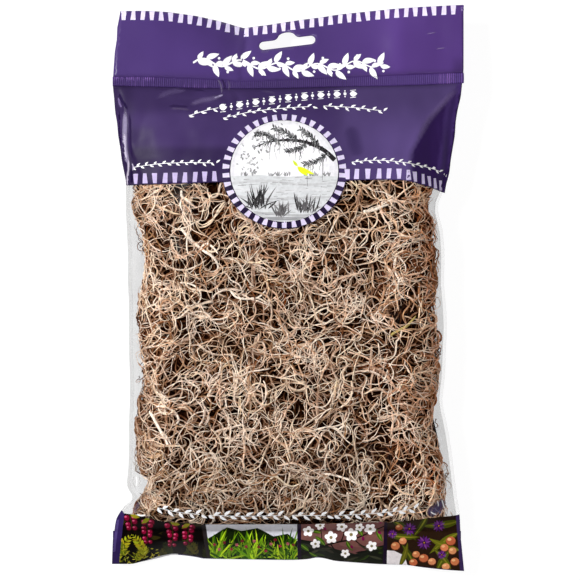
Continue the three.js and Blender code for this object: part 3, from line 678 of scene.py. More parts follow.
def tube_mesh(name, P, R, sides, tone, flat=None, closed_uv=True):
    """One mesh from many tapered tubes. P (N,T,3) mm, R (N,T) mm, tone (N,T,3) linear colour."""
    N, T, _ = P.shape
    tan = np.gradient(P, axis=1)
    tan /= np.maximum(1e-9, np.linalg.norm(tan, axis=2, keepdims=True))
    U = np.zeros_like(P)
    ref = np.tile(np.array([0.0, 0.0, 1.0]), (N, 1))
    ref[np.abs(tan[:, 0, 2]) > 0.9] = (1.0, 0.0, 0.0)
    u = np.cross(ref, tan[:, 0])
    u /= np.linalg.norm(u, axis=1, keepdims=True)
    U[:, 0] = u
    for t in range(1, T):
        u = U[:, t - 1] - np.sum(U[:, t - 1] * tan[:, t], axis=1, keepdims=True) * tan[:, t]
        U[:, t] = u / np.maximum(1e-9, np.linalg.norm(u, axis=1, keepdims=True))
    W = np.cross(tan, U)
    if flat is None:
        flat = np.ones(N)
    a = 2 * math.pi * np.arange(sides) / sides + math.pi / sides
    ring = (P[:, :, None, :]
            + R[:, :, None, None] * (np.cos(a)[None, None, :, None] * U[:, :, None, :]
                                     + flat[:, None, None, None] * np.sin(a)[None, None, :, None] * W[:, :, None, :]))
    verts = ring.reshape(-1, 3)
    n_i, t_i, k_i = np.meshgrid(np.arange(N), np.arange(T - 1), np.arange(sides), indexing="ij")
    base = n_i * T * sides
    k2 = (k_i + 1) % sides
    quads = np.stack([base + t_i * sides + k_i, base + t_i * sides + k2,
                      base + (t_i + 1) * sides + k2, base + (t_i + 1) * sides + k_i], -1).reshape(-1, 4)
    cols = int(math.ceil(math.sqrt(N / 6)))
    rows = int(math.ceil(N / cols))
    cw, ch = 1.0 / cols, 1.0 / rows
    cx = (n_i % cols) * cw
    cy = (n_i // cols) * ch
    u0 = cx + cw * (0.04 + 0.92 * t_i / (T - 1))
    u1 = cx + cw * (0.04 + 0.92 * (t_i + 1) / (T - 1))
    v0 = cy + ch * (0.08 + 0.84 * k_i / sides)
    v1 = cy + ch * (0.08 + 0.84 * (k_i + 1) / sides)
    uvq = np.stack([np.stack([u0, v0], -1), np.stack([u0, v1], -1), np.stack([u1, v1], -1), np.stack([u1, v0], -1)], -2).reshape(-1, 4, 2)
    s = np.arange(N)
    first = (s * T * sides)[:, None] + np.arange(sides)[::-1][None, :]
    last = (s * T * sides + (T - 1) * sides)[:, None] + np.arange(sides)[None, :]
    ux = (s % cols) * cw
    uy = (s // cols) * ch
    ca = np.stack([0.5 + 0.5 * np.cos(a), 0.5 + 0.5 * np.sin(a)], -1)
    uv_first = np.stack([ux[:, None] + cw * 0.03 * ca[None, :, 0], uy[:, None] + ch * (0.08 + 0.84 * ca[None, :, 1])], -1)
    uv_last = np.stack([ux[:, None] + cw * (0.965 + 0.03 * ca[None, :, 0]), uy[:, None] + ch * (0.08 + 0.84 * ca[None, :, 1])], -1)
    loops = np.concatenate([quads.ravel(), first.ravel(), last.ravel()])
    uvs = np.concatenate([uvq.reshape(-1, 2), uv_first.reshape(-1, 2), uv_last.reshape(-1, 2)])
    nq = len(quads)
    starts = np.concatenate([np.arange(nq) * 4, nq * 4 + np.arange(2 * N) * sides])
    me = bpy.data.meshes.new(name)
    me.vertices.add(len(verts))
    me.vertices.foreach_set("co", (verts * MM).astype(np.float32).ravel())
    me.loops.add(len(loops))
    me.loops.foreach_set("vertex_index", loops.astype(np.int32))
    me.polygons.add(len(starts))
    me.polygons.foreach_set("loop_start", starts.astype(np.int32))
    me.polygons.foreach_set("use_smooth", np.ones(len(starts), bool))
    layer = me.uv_layers.new(name="OFBake")
    me.update(calc_edges=True)
    me.uv_layers["OFBake"].data.foreach_set("uv", uvs.astype(np.float32).ravel())
    att = me.color_attributes.new(name="tone", type="FLOAT_COLOR", domain="POINT")
    col = np.ones((N, T, sides, 4))
    col[..., :3] = tone[:, :, None, :]
    att.data.foreach_set("color", col.astype(np.float32).ravel())
    me.validate()
    return link(me, name)


def flow(x, y):
    """Main direction that the strands of an area run in, in radians."""
    return 1.4 * waves(x, y, 71, 70, 6) + 0.5 * waves(x, y, 72, 28, 6)


def soft_fold(u, w=1.6):
    """Turns a strand back smoothly where it would cross a limit (u is the distance inside it)."""
    return np.sqrt(u * u + w * w) - w * 0.55


def grow(x0, y0, th0, d0, k0, T, r, gi, hook, slope, amp, wander=1.0, kinks=0.048):
    """Strands of T points from start points and headings. gi gives the bundle each strand belongs to."""
    n = len(x0)
    g = int(gi.max()) + 1
    shared = r.normal(0, 1, (g, T))[gi]
    private = r.normal(0, 1, (n, T))
    flip = r.uniform(size=(g, T))[gi] < 0.03
    swing = np.where(r.uniform(size=g) < 0.14, 0.0, r.uniform(0.25, 1.25, g))[gi]
    phase = r.uniform(0, 2 * math.pi, g)[gi]
    rim = np.minimum(4, r.exponential(0.9, n)) - 1.9  # how close each strand comes to the edge of the filling
    kink = (r.uniform(size=(n, T)) < kinks) * r.normal(0, 0.8, (n, T))
    x = np.zeros((n, T)); y = np.zeros((n, T)); ths = np.zeros((n, T))
    x[:, 0], y[:, 0], ths[:, 0] = x0, y0, th0
    th = th0.copy()
    base = k0.copy()
    kap = k0 * 0.5
    for t in range(1, T):
        s = t / T
        goal = base * (1 + hook * s * s) * np.where(swing > 0, 1.25 * np.cos(phase + 2 * math.pi * swing * s), 1.0)
        kap = kap + (goal - kap) * 0.22 + (0.042 * shared[:, t] + 0.022 * private[:, t]) * wander
        base = np.where(flip[:, t], -base, base)
        th = th + kap * STEP + kink[:, t]
        px, py = x[:, t - 1], y[:, t - 1]
        wl = np.clip(1 - (px - moss_l(py) - rim) / 2.4, 0, 1.5)
        wr = np.clip(1 - (moss_r(py) - rim - px) / 2.4, 0, 1.5)
        wb = np.clip(1 - (py + 134.0 - rim) / 2.4, 0, 1.5)
        w = np.minimum(1.5, np.hypot(wl - wr, wb))
        away = np.angle(np.exp(1j * (np.arctan2(wb, wl - wr) - th)))
        th = th + np.where((w > 0) & (np.abs(away) > 1.2), np.sign(away) * np.minimum(np.abs(away), 0.42 * w), 0)
        x[:, t] = x[:, t - 1] + np.cos(th) * STEP
        y[:, t] = y[:, t - 1] + np.sin(th) * STEP
        ths[:, t] = th
    ph = r.uniform(0, 2 * math.pi, n)
    drift = np.cumsum(r.normal(0, 0.16, (n, T)), axis=1) + slope[:, None] * np.arange(T)[None, :] * STEP
    d = d0[:, None] + amp[:, None] * (np.sin(ths + ph[:, None]) - np.sin(ths[:, :1] + ph[:, None])) + drift
    return x, y, d


def place(x, y, d, rad, r):
    """Keeps strands inside the filling: pressed against the film and turned back at its sides, never through them."""
    n = len(x)
    j = np.minimum(4, r.exponential(0.7, (2, n)))[:, :, None] - 0.8
    weave = 0.9 * np.sin(np.linspace(0, 1, x.shape[1])[None, :] * r.uniform(4, 15, (n, 1)) + r.uniform(0, 6.28, (n, 1)))
    y = -133.0 + 0.5 * j[0] + soft_fold(y + 133.0 - 0.5 * j[0])
    y = 95.0 - soft_fold(95.0 - y)
    edge_l, edge_r = moss_l(y), moss_r(y)
    tuck = np.clip((d - 2.2) * 0.42, 0, 2.8)
    lo = edge_l + np.maximum(-0.8, j[0] + weave) + rad + tuck
    hi = edge_r - np.maximum(-0.8, j[1] + weave) - rad - tuck
    x = lo + soft_fold(x - lo, 1.0)
    x = hi - soft_fold(hi - x, 1.0)
    row = row_of(x, y)
    fz = top_surface(x, y) - 0.6
    bz = back_z(x, row)
    slope = np.hypot(fz + 0.6 - top_surface(x - 1.0, y), fz + 0.6 - top_surface(x, y - 1.0))
    press = 0.3 + rad * (1 + 0.5 * slope)
    d = press + 0.7 * np.logaddexp(0, (d - press) / 0.7)
    room = np.maximum(1.0, fz - bz - 2.2 * rad)
    d = np.minimum(d, room)
    z = fz - d
    low = crown_z(row) - z  # painted shade: stems down the sides of the pillow lie in its shade
    side = np.maximum(0, np.minimum(x - edge_l, edge_r - x) - 0.5)  # less painted shade near the sides: light also comes in from the sides
    steep = np.minimum(1.3, np.sqrt(1 + slope * slope))
    open_side = 1.0 + 1.1 * np.maximum(0, side - 0.5 * tuck) + 0.030 * np.maximum(0, low - 10) + 0.4 * waves(x, y, 84, 13, 9) ** 2
    open_back = 0.9 + (z - bz) + 9 * smooth(18, 9, room)  # less painted shade also from below, where the filling is thick
    # the second value is the depth that sets each point's painted shade
    return np.stack([x, y, z], -1), np.minimum(np.minimum(d / steep * (1 + 0.3 * smooth(24, 8, edge_r - x)) + 0.06 * np.maximum(0, low - 14), open_side * (1 + 0.3 * (x > 0))), open_back)


def radii(n, T, base, tip, r, rough=0.10):
    t = np.linspace(0, 1, T)[None, :]
    prof = np.minimum(1, (1 - t) / 0.5) ** 0.7
    start = np.minimum(1, 0.6 + t / 0.05)
    R = base[:, None] * (tip + (1 - tip) * prof) * start
    return R * np.clip(1 + rough * np.cumsum(r.normal(0, 1, (n, T)), axis=1) / math.sqrt(T), 0.7, 1.35)


PALE = np.array(srgb(254, 237, 221))
TAN = np.array(srgb(230, 195, 169))
MIDB = np.array(srgb(190, 140, 102))
DARKB = np.array(srgb(116, 60, 27))
ORANGE = np.array(srgb(206, 140, 84))
PINKB = np.array(srgb(200, 150, 132))
OLIVE = np.array(srgb(170, 150, 90))
GREY = np.array(srgb(176, 160, 156))
CREAM = np.array(srgb(234, 207, 166))
DEPTH_SHADE = 1.16


def painted_light_and_shade(x, y):
    """Painted light and shade over the bulk: paler at the upper left, on the side of the light, and at the right; much
    paler along the rims, most at the right one, where little light reaches; darker low down; a slow random tone on top.
    """
    return (1 + 0.07 * smooth(-20, -55, x) * smooth(-30, 30, y) + 0.34 * smooth(38, 62, x) * smooth(-122, -104, y)
            - 0.19 * smooth(-80, -105, y) * smooth(60, 40, x) + 0.05 * waves(x, y, 83, 34, 8)
            + 0.06 * smooth(8, 2, x - moss_l(y)) + 0.20 * smooth(30, 14, moss_r(y) - x) + 1.15 * smooth(13, 5, moss_r(y) - x))


def tones(n, T, d, gi, r, light, sd=0.24):
    """Colour along each strand: light shifts the mix towards pale; painted shade darkens and warms stems deep in the
    tangle.
    """
    g = int(gi.max()) + 1
    v = np.clip(r.normal(light, sd, g)[gi] + r.normal(0, 0.10, n), 0.02, 1)
    v = v[:, None] + 0.16 * np.cumsum(r.normal(0, 1, (n, T)), axis=1) / math.sqrt(T)
    v = np.clip(v, 0.0, 1)[..., None]
    c = np.where(v < 0.33, DARKB + (MIDB - DARKB) * v / 0.33,
                 np.where(v < 0.68, MIDB + (TAN - MIDB) * (v - 0.33) / 0.35, TAN + (PALE - TAN) * np.clip((v - 0.68) / 0.32, 0, 1)))
    odd = r.uniform(size=g)[gi]
    for lo, hi, tint, share in ((0.0, 0.02, ORANGE, 0.14), (0.02, 0.06, PINKB, 0.08), (0.06, 0.10, OLIVE, 0.20), (0.10, 0.20, GREY, 0.20), (0.20, 0.50, CREAM, 0.24)):
        pick = ((odd >= lo) & (odd < hi))[:, None, None]
        lum = c.mean(-1, keepdims=True) / tint.mean()
        c = np.where(pick, c * (1 - share) + tint * lum * share, c)
    # painted shade: darker and warmer the deeper a point lies in the tangle
    fade = 0.02 + 0.98 * np.exp(-(np.maximum(0, d - 0.9) / DEPTH_SHADE) ** 1.2)
    warm = np.array([1.0, 0.42, 0.12])
    return c * fade[..., None] * (1 - (1 - warm) * (1 - fade[..., None]) ** 1.7)


def lock_index(x, y):
    """Which of the CAD's moss locks a plan point belongs to (1..15)."""
    l = left_x(y) + 5.5
    rr = right_x(y) - 5.5
    u = (x - l) / (rr - l)
    col = np.zeros(len(x), int)
    for k in (1, 2):
        line = l + (rr - l) * k / 3 + 5 * np.sin(y / 17 + k * 2.1)
        col += (x > line)
    rowi = np.zeros(len(x), int)
    for k in (1, 2, 3, 4):
        line = -129.5 + (92 + 129.5) * k / 5 + 6 * np.sin(np.clip(u, 0, 1) * 7.3 + k * 1.7)
        rowi += (y > line)
    return rowi * 3 + col + 1


strands = []  # (P, R, tone, sides, flat)


def scatter(n, r, hidden=0.22, gaps=0.5, rim=False):
    """Start points over the filling: uneven, and few where only the printed film is seen."""
    if rim:  # along the two sides only
        y = r.uniform(-132, 66, n)
        u = np.abs(r.normal(0, 3.5 * rim, n)) + 1.0
        return np.column_stack([np.where(r.uniform(size=n) < 0.5, moss_l(y) + u, moss_r(y) - u), y])
    out = np.zeros((0, 2))
    while len(out) < n:
        c = np.column_stack([r.uniform(-90, 90, n * 3), r.uniform(-133, 94, n * 3)])
        c = c[(c[:, 0] > moss_l(c[:, 1])) & (c[:, 0] < moss_r(c[:, 1]))]
        dens = (1 - gaps) + gaps * (0.5 + 0.6 * waves(c[:, 0], c[:, 1], 81, 15, 9)) + 0.10 * waves(c[:, 0], c[:, 1], 82, 60, 6)
        dens = np.clip(dens, 0.08, 1) * np.where(c[:, 1] > 66, hidden, 1.0)
        c = c[r.uniform(0, 1, len(c)) < dens]
        out = np.concatenate([out, c])
    return out[:n]


def tufts(nodes, seed, depth, depth_sd, light, base_r, T=22, leaves=(1, 4), sides=4, curl=0.15, tight=0.12,
          slope_sd=0.16, amp=1.0, fan=0.95, tip=0.30, hidden=0.22, gaps=0.5, wander=1.0, sd=0.24, rim=False):
    """Tufts of curled stems: each node carries a few stems that leave it as a fan or side by side."""
    r = np.random.default_rng(seed)
    p = scatter(nodes, r, hidden, gaps, rim)
    count = r.integers(leaves[0], leaves[1] + 1, nodes)
    gi = np.repeat(np.arange(nodes), count)
    n = len(gi)
    node_th = flow(p[:, 0], p[:, 1]) + r.normal(0, 0.6, nodes) + np.where(r.uniform(size=nodes) < 0.3, r.uniform(0, 6.28, nodes), 0)
    side_by_side = (r.uniform(size=nodes) < 0.40)[gi]
    th = node_th[gi] + np.where(side_by_side, r.normal(0, 0.12, n), r.uniform(-fan, fan, n)) + np.where(r.uniform(size=n) < 0.35, math.pi, 0)
    off = np.where(side_by_side, r.normal(0, 1.5, n), r.normal(0, 0.25, n))
    along = r.normal(0, 2.0, n)
    x0 = p[gi, 0] - np.sin(node_th[gi]) * off + np.cos(node_th[gi]) * along
    y0 = p[gi, 1] + np.cos(node_th[gi]) * off + np.sin(node_th[gi]) * along
    sign = np.where(side_by_side, r.choice([-1, 1], nodes)[gi], r.choice([-1, 1], n))
    mag = np.where(side_by_side, r.lognormal(math.log(curl), 0.5, nodes)[gi], r.lognormal(math.log(curl), 0.6, n))
    mag = np.where(r.uniform(size=n) < tight, r.uniform(0.28, 0.42, n), np.clip(mag, 0.02, 0.34))
    d0 = np.maximum(0.1, r.normal(depth, depth_sd, nodes))[gi] + r.normal(0, 0.7, n)
    x, y, d = grow(x0, y0, th, d0, sign * mag, T, r, gi, hook=r.uniform(-0.7, 1.1, n), slope=r.normal(0.03, slope_sd, n),
                   amp=r.uniform(0.1, 1, n) * amp, wander=wander)
    inset = np.clip((d.mean(1) - 5) * 0.22, 0, 5)[:, None]
    out = np.maximum(np.maximum(moss_l(y) + inset - x, x - moss_r(y) + inset), -133.0 - y).max(1)
    keep = out < r.uniform(0.6, 3.0, n)
    x, y, d, gi, n = x[keep], y[keep], d[keep], gi[keep], int(keep.sum())
    base = np.clip(r.lognormal(math.log(base_r), 0.36, n), 0.17, 1.15)
    R = radii(n, T, base, tip, r)
    P, d = place(x, y, d, R, r)
    # painted shade by depth, times painted light and shade over the bulk
    tone = tones(n, T, d, gi, r, light, sd) * painted_light_and_shade(P[..., 0], P[..., 1])[..., None]
    tone = tone * np.array([1.0, 0.975, 0.945])
    tone = tone / np.maximum(1, tone.max(-1, keepdims=True) / 1.0)
    strands.append((P, R, tone, sides, r.uniform(0.6, 1.0, n)))


# layers of the tangle, from the window side down to the back; the fifth value, each layer's lightness, is mostly lower
# for deeper layers as painted shade
tufts(125, 100, 1.3, 0.8, 0.96, 0.70, T=20, leaves=(1, 2), sides=3, curl=0.05, tight=0.0, slope_sd=0.12, amp=0.6, wander=1.2, hidden=0.1, gaps=0.35)
tufts(440, 101, 1.0, 0.9, 0.96, 0.40, T=14, leaves=(1, 5), sides=3, curl=0.085, tight=0.03, wander=1.6, slope_sd=0.24, sd=0.36, gaps=0.42, hidden=0.12)
tufts(800, 111, 1.6, 1.2, 0.84, 0.32, T=12, leaves=(1, 5), sides=3, curl=0.10, tight=0.05, wander=1.8, slope_sd=0.28, sd=0.38, gaps=0.42, hidden=0.12)
tufts(840, 102, 3.4, 1.5, 0.64, 0.34, T=12, leaves=(1, 5), sides=3, curl=0.10, tight=0.06, wander=1.7, slope_sd=0.26, sd=0.36, gaps=0.38, hidden=0.12)
tufts(390, 103, 5.8, 1.8, 0.50, 0.42, T=16, leaves=(1, 4), sides=3, curl=0.12, gaps=0.3, wander=1.4, hidden=0.14)
tufts(150, 104, 9.5, 2.4, 0.46, 0.56, T=16, leaves=(1, 3), sides=3, gaps=0.1)
tufts(140, 105, 14.0, 3.0, 0.48, 0.55, T=16, leaves=(1, 3), sides=3, rim=True)
tufts(130, 106, 24.0, 6.0, 0.55, 0.50, T=16, leaves=(1, 3), sides=3, rim=True)
tufts(100, 107, 44.0, 4.0, 0.60, 0.50, T=16, leaves=(1, 3), sides=3, rim=True)
tufts(110, 116, 30.0, 8.0, 0.58, 0.48, T=15, leaves=(1, 3), sides=3, curl=0.13, rim=True)
tufts(100, 108, 1.6, 1.3, 0.66, 0.40, T=13, leaves=(1, 3), sides=3, curl=0.14, tight=0.10, wander=1.8, rim=True, sd=0.36)
tufts(150, 112, 5.5, 1.6, 0.50, 0.80, T=13, leaves=(1, 4), sides=3, curl=0.10, wander=1.2, rim=True, sd=0.24)
tufts(520, 110, 1.0, 0.8, 0.90, 0.23, T=11, leaves=(1, 4), sides=3, curl=0.14, tight=0.08, wander=2.0, sd=0.36, gaps=0.3, hidden=0.1)
tufts(120, 115, 60.0, 3.0, 0.62, 0.40, T=14, leaves=(1, 3), sides=3, curl=0.12, wander=1.4, rim=2.6)
REACH = 4.0
tufts(52, 113, 2.2, 1.4, 0.70, 0.22, T=12, leaves=(1, 2), sides=3, curl=0.18, tight=0.12, wander=1.8, rim=True, sd=0.30)
REACH = 1.6
tufts(90, 114, 3.4, 2.2, 0.70, 0.28, T=12, leaves=(1, 3), sides=3, curl=0.18, tight=0.14, wander=1.8, rim=True, sd=0.34)
REACH = 0.0

LOCKS = {i: [] for i in range(1, 16)}
for P, R, tone, sides, flat in strands:
    mid = P[:, P.shape[1] // 2]
    idx = lock_index(mid[:, 0], mid[:, 1])
    for i in range(1, 16):
        pick = idx == i
        if pick.any():
            LOCKS[i].append((P[pick], R[pick], tone[pick], sides, flat[pick]))
total_faces = 0
for i in range(1, 16):
    parts = []
    for k, (P, R, tone, sides, flat) in enumerate(LOCKS[i]):
        parts.append(tube_mesh(f"moss_lock_{i:02d}_part{k}", P, R, sides, tone, flat))
    # the parts of one lock share one mesh; each keeps its own strip of the UV square
    n = len(parts)
    for k, ob in enumerate(parts):
        uv = ob.data.uv_layers["OFBake"].data
        a = np.empty(len(ob.data.loops) * 2, np.float32)
        uv.foreach_get("uv", a)
        a = a.reshape(-1, 2)
        a[:, 1] = (a[:, 1] + k) / n
        uv.foreach_set("uv", a.ravel())
    bpy.ops.object.select_all(action="DESELECT")
    for ob in parts:
        ob.select_set(True)
    bpy.context.view_layer.objects.active = parts[0]
    bpy.ops.object.join()
    lock = bpy.context.view_layer.objects.active
    lock.name = f"moss_tangle_{i:02d}"
    lock.data.name = lock.name
    put(lock, mat_moss)
    lock.data.calc_loop_triangles()
    total_faces += len(lock.data.loop_triangles)
    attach(lock, "root")
    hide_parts(f"moss_lock_{i:02d}")
print("moss triangles", total_faces)

# the middle of the tangle, which the stems hide: its dark colour is painted shade, so that the gaps between them read
# as deep
def shade_core_material(name):
    m = Nodes(name)
    co = coords(m)
    n1 = m.n("ShaderNodeTexNoise", i_Scale=520.0, i_Detail=4.0, i_Roughness=0.7, i_Distortion=1.6)
    m.l(co, n1.inputs["Vector"])
    cr = m.n("ShaderNodeValToRGB")
    m.l(n1.outputs["Fac"], cr.inputs["Fac"])
    # painted shade: dark browns, as deep inside the tangle
    ramp(cr, [(0.40, srgb(20, 5, 1)), (0.56, srgb(42, 15, 5)), (0.68, srgb(68, 36, 18)), (0.80, srgb(90, 56, 34))])
    df = m.n("ShaderNodeBsdfDiffuse")
    m.l(cr.outputs["Color"], df.inputs["Color"])
    b = m.n("ShaderNodeBump")
    b.inputs["Strength"].default_value = 0.7
    b.inputs["Distance"].default_value = 0.0006
    m.l(n1.outputs["Fac"], b.inputs["Height"])
    m.l(b.outputs["Normal"], df.inputs["Normal"])
    m.l(df.outputs["BSDF"], m.out.inputs["Surface"])
    return m.mat


core_y = np.linspace(-131.0, 88.0, 74)
core_u = np.concatenate([np.linspace(0, 0.10, 6)[:-1], np.linspace(0.10, 0.90, 30)[:-1], np.linspace(0.90, 1, 6)])
V = []
for back_side in (False, True):
    for y in core_y:
        l, r = float(moss_l(np.array(y))) + 4.2, float(moss_r(np.array(y))) - 4.2
        x = l + (r - l) * core_u
        yy = np.full_like(x, y)
        hi = top_surface(x, yy)
        lo = back_z(x, row_of(x, yy))
        room = hi - lo
        if back_side:
            z = lo + np.minimum(2.4, 0.30 * room)
        else:
            z = hi - np.minimum(6.6 + 1.0 * waves(x, yy, 91, 7, 12), 0.50 * room)
        V.append(np.column_stack([x, yy, z]))
nu, nv = len(core_u), len(core_y)
half_n = nu * nv
F = [(j * nu + i, j * nu + i + 1, (j + 1) * nu + i + 1, (j + 1) * nu + i) for j in range(nv - 1) for i in range(nu - 1)]
F += [tuple(half_n + q for q in f[::-1]) for f in F]
rim_loop = [i for i in range(nu)] + [j * nu + nu - 1 for j in range(1, nv)] + [(nv - 1) * nu + i for i in range(nu - 2, -1, -1)] + [j * nu for j in range(nv - 2, 0, -1)]
for a, b in zip(rim_loop, rim_loop[1:] + rim_loop[:1]):
    F.append((a, half_n + a, half_n + b, b))
core = mesh_object("moss_middle_painted_shade", np.concatenate(V), F)
plan_uv(core)
put(core, shade_core_material("packed_moss_painted_shade"))
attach(core, "root")

# ------------------------------------------------------------------ loose strands on top
STRANDS = {
    "strand_forked_pale": [
        [[-59.0, 33.3], [-55.1, 28.6], [-50.7, 24.4], [-46.3, 20.8], [-42.4, 18.4], [-39.6, 15.3], [-38.5, 12.0], [-39.6, 9.2], [-42.1, 7.6]],
        [[-48.5, 22.5], [-45.2, 25.0], [-41.3, 22.8], [-38.5, 19.2]]],
    "strand_top_left": [
        [[-59.0, 54.6], [-58.8, 51.3], [-55.1, 48.5], [-50.7, 44.6]],
        [[-58.4, 50.7], [-59.6, 46.8], [-58.4, 43.0]]],
    "strand_wavy_left": [
        [[-62.9, 25.8], [-64.5, 22.5], [-61.8, 19.2], [-57.3, 17.2], [-55.4, 14.8], [-56.0, 11.4]]],
    "strand_short_arch": [
        [[-59.6, 3.4], [-54.6, 2.9], [-50.7, 0.9], [-48.3, -2.4], [-48.3, -5.7], [-50.2, -8.5]]],
    "strand_lower_wave": [
        [[-31.9, -0.7], [-28.6, -4.6], [-22.5, -5.7], [-16.7, -5.1], [-13.1, -6.8], [-9.8, -9.3]],
        [[-16.7, -5.1], [-14.2, -3.2], [-12.0, -0.7]]],
    "strand_bow_right": [
        [[45.8, 32.5], [41.1, 33.0], [35.6, 32.5], [30.0, 30.9], [30.6, 27.5], [32.2, 23.6], [31.7, 19.7], [28.9, 17.5]]],
    "strand_flat_pale": [
        [[41.9, 42.7], [45.5, 43.2], [49.4, 44.3], [52.7, 45.7], [56.0, 46.8]]],
    "strand_loop_right": [
        [[60.4, 18.6], [59.1, 14.8], [59.6, 9.2], [61.5, 4.8], [60.7, 0.9], [57.7, -2.1], [53.8, -3.5]],
        [[60.4, 18.6], [63.2, 15.9], [65.4, 12.0], [64.9, 8.7]]],
    "strand_arch_mid": [
        [[22.3, 0.4], [26.2, 4.3], [31.7, 6.7], [37.8, 8.1], [43.0, 9.2]]],
    "strand_olive_band": [
        [[56.0, -26.7], [58.8, -24.5], [62.1, -22.8], [66.0, -20.6], [68.7, -17.9], [71.2, -15.1]]],
    "strand_straight_pale": [
        [[-77.0, -68.2], [-73.9, -73.2], [-70.6, -79.0], [-66.7, -86.4], [-63.1, -92.8]],
        [[-70.6, -79.0], [-67.3, -82.0], [-64.5, -87.0]]],
    "strand_coil_left": [
        [[-72.8, -65.7], [-69.0, -65.1], [-64.5, -67.1], [-61.2, -70.4], [-60.7, -73.7], [-63.4, -75.6], [-67.8, -75.5]]],
    "strand_ring": [
        [[-33.8, -66.0], [-34.4, -61.5], [-35.2, -57.4], [-39.1, -54.9], [-43.0, -56.6], [-44.1, -59.9], [-41.9, -63.2], [-38.5, -64.0]]],
    "strand_star_stem": [
        [[-32.5, -45.5], [-29.1, -47.4], [-25.5, -50.3], [-23.3, -53.8], [-21.2, -57.7]],
        [[-21.2, -57.7], [-18.6, -53.8], [-18.1, -49.4]],
        [[-21.2, -57.7], [-17.0, -56.3], [-13.4, -57.7]],
        [[-21.2, -57.7], [-22.2, -62.6], [-24.7, -66.0]]],
    "strand_mid_long": [
        [[-25.5, -78.1], [-24.4, -83.7], [-23.9, -89.7], [-24.7, -95.3], [-24.4, -100.2]]],
    "strand_s_curve": [
        [[11.8, -79.8], [15.6, -77.9], [19.8, -76.8], [24.5, -76.5], [27.8, -77.9], [30.0, -80.9], [32.8, -84.2], [36.1, -86.7]],
        [[27.8, -77.9], [31.7, -75.6], [34.4, -77.9], [34.7, -80.9]]],
    "strand_long_arc": [
        [[16.2, -105.2], [18.4, -103.2], [21.2, -102.5], [25.0, -103.0], [28.9, -104.1], [33.9, -105.8], [38.3, -107.7], [42.2, -109.1], [46.6, -110.3], [54.4, -111.3]]],
    "strand_right_curl": [
        [[52.5, -72.0], [55.5, -70.4], [58.8, -71.2], [61.3, -73.4], [61.3, -76.5], [58.8, -78.1], [55.7, -76.7]]],
    "strand_upper_arc": [
        [[33.3, -35.0], [38.9, -36.4], [44.4, -38.6], [47.7, -42.2], [49.7, -47.7], [50.5, -54.6]]],
}
STRAND_LOOK = {  # radius at the base, flatness, colour
    "strand_forked_pale": (0.85, 0.75, PALE), "strand_top_left": (0.70, 0.8, PALE), "strand_wavy_left": (0.50, 0.9, TAN),
    "strand_short_arch": (0.55, 0.9, PALE), "strand_lower_wave": (0.60, 0.9, PALE), "strand_bow_right": (0.62, 0.8, TAN),
    "strand_flat_pale": (0.95, 0.55, PALE), "strand_loop_right": (0.58, 0.9, PALE), "strand_arch_mid": (0.60, 0.9, TAN),
    "strand_olive_band": (0.80, 0.6, OLIVE * 1.25), "strand_straight_pale": (0.85, 0.7, PALE), "strand_coil_left": (0.68, 0.8, PALE),
    "strand_ring": (0.52, 0.9, PALE), "strand_star_stem": (0.70, 0.8, TAN), "strand_mid_long": (0.70, 0.8, TAN),
    "strand_s_curve": (0.55, 0.9, PALE), "strand_long_arc": (0.60, 0.85, PALE), "strand_right_curl": (0.55, 0.9, TAN),
    "strand_upper_arc": (0.50, 0.9, TAN),
}


def catmull(pts, n):
    """Centripetal Catmull-Rom through plan points, evenly resampled to n points."""
    p = np.array(pts, float)
    p = np.vstack([2 * p[0] - p[1], p, 2 * p[-1] - p[-2]])
    out = []
    for i in range(1, len(p) - 2):
        p0, p1, p2, p3 = p[i - 1:i + 3]
        t0 = 0.0
        t1 = t0 + max(1e-6, np.hypot(*(p1 - p0))) ** 0.5
        t2 = t1 + max(1e-6, np.hypot(*(p2 - p1))) ** 0.5
        t3 = t2 + max(1e-6, np.hypot(*(p3 - p2))) ** 0.5
        t = np.linspace(t1, t2, 12, endpoint=False)[:, None]
        a1 = (t1 - t) / (t1 - t0) * p0 + (t - t0) / (t1 - t0) * p1
        a2 = (t2 - t) / (t2 - t1) * p1 + (t - t1) / (t2 - t1) * p2
        a3 = (t3 - t) / (t3 - t2) * p2 + (t - t2) / (t3 - t2) * p3
        b1 = (t2 - t) / (t2 - t0) * a1 + (t - t0) / (t2 - t0) * a2
        b2 = (t3 - t) / (t3 - t1) * a2 + (t - t1) / (t3 - t1) * a3
        out.append((t2 - t) / (t2 - t1) * b1 + (t - t1) / (t2 - t1) * b2)
    c = np.vstack(out + [p[-2:-1]])
    s = np.concatenate([[0], np.cumsum(np.hypot(*np.diff(c, axis=0).T))])
    q = np.linspace(0, s[-1], n)
    return np.column_stack([np.interp(q, s, c[:, 0]), np.interp(q, s, c[:, 1])]), s[-1]


def length_of(pts):
    p = np.array(pts, float)
    return float(np.hypot(*np.diff(p, axis=0).T).sum())


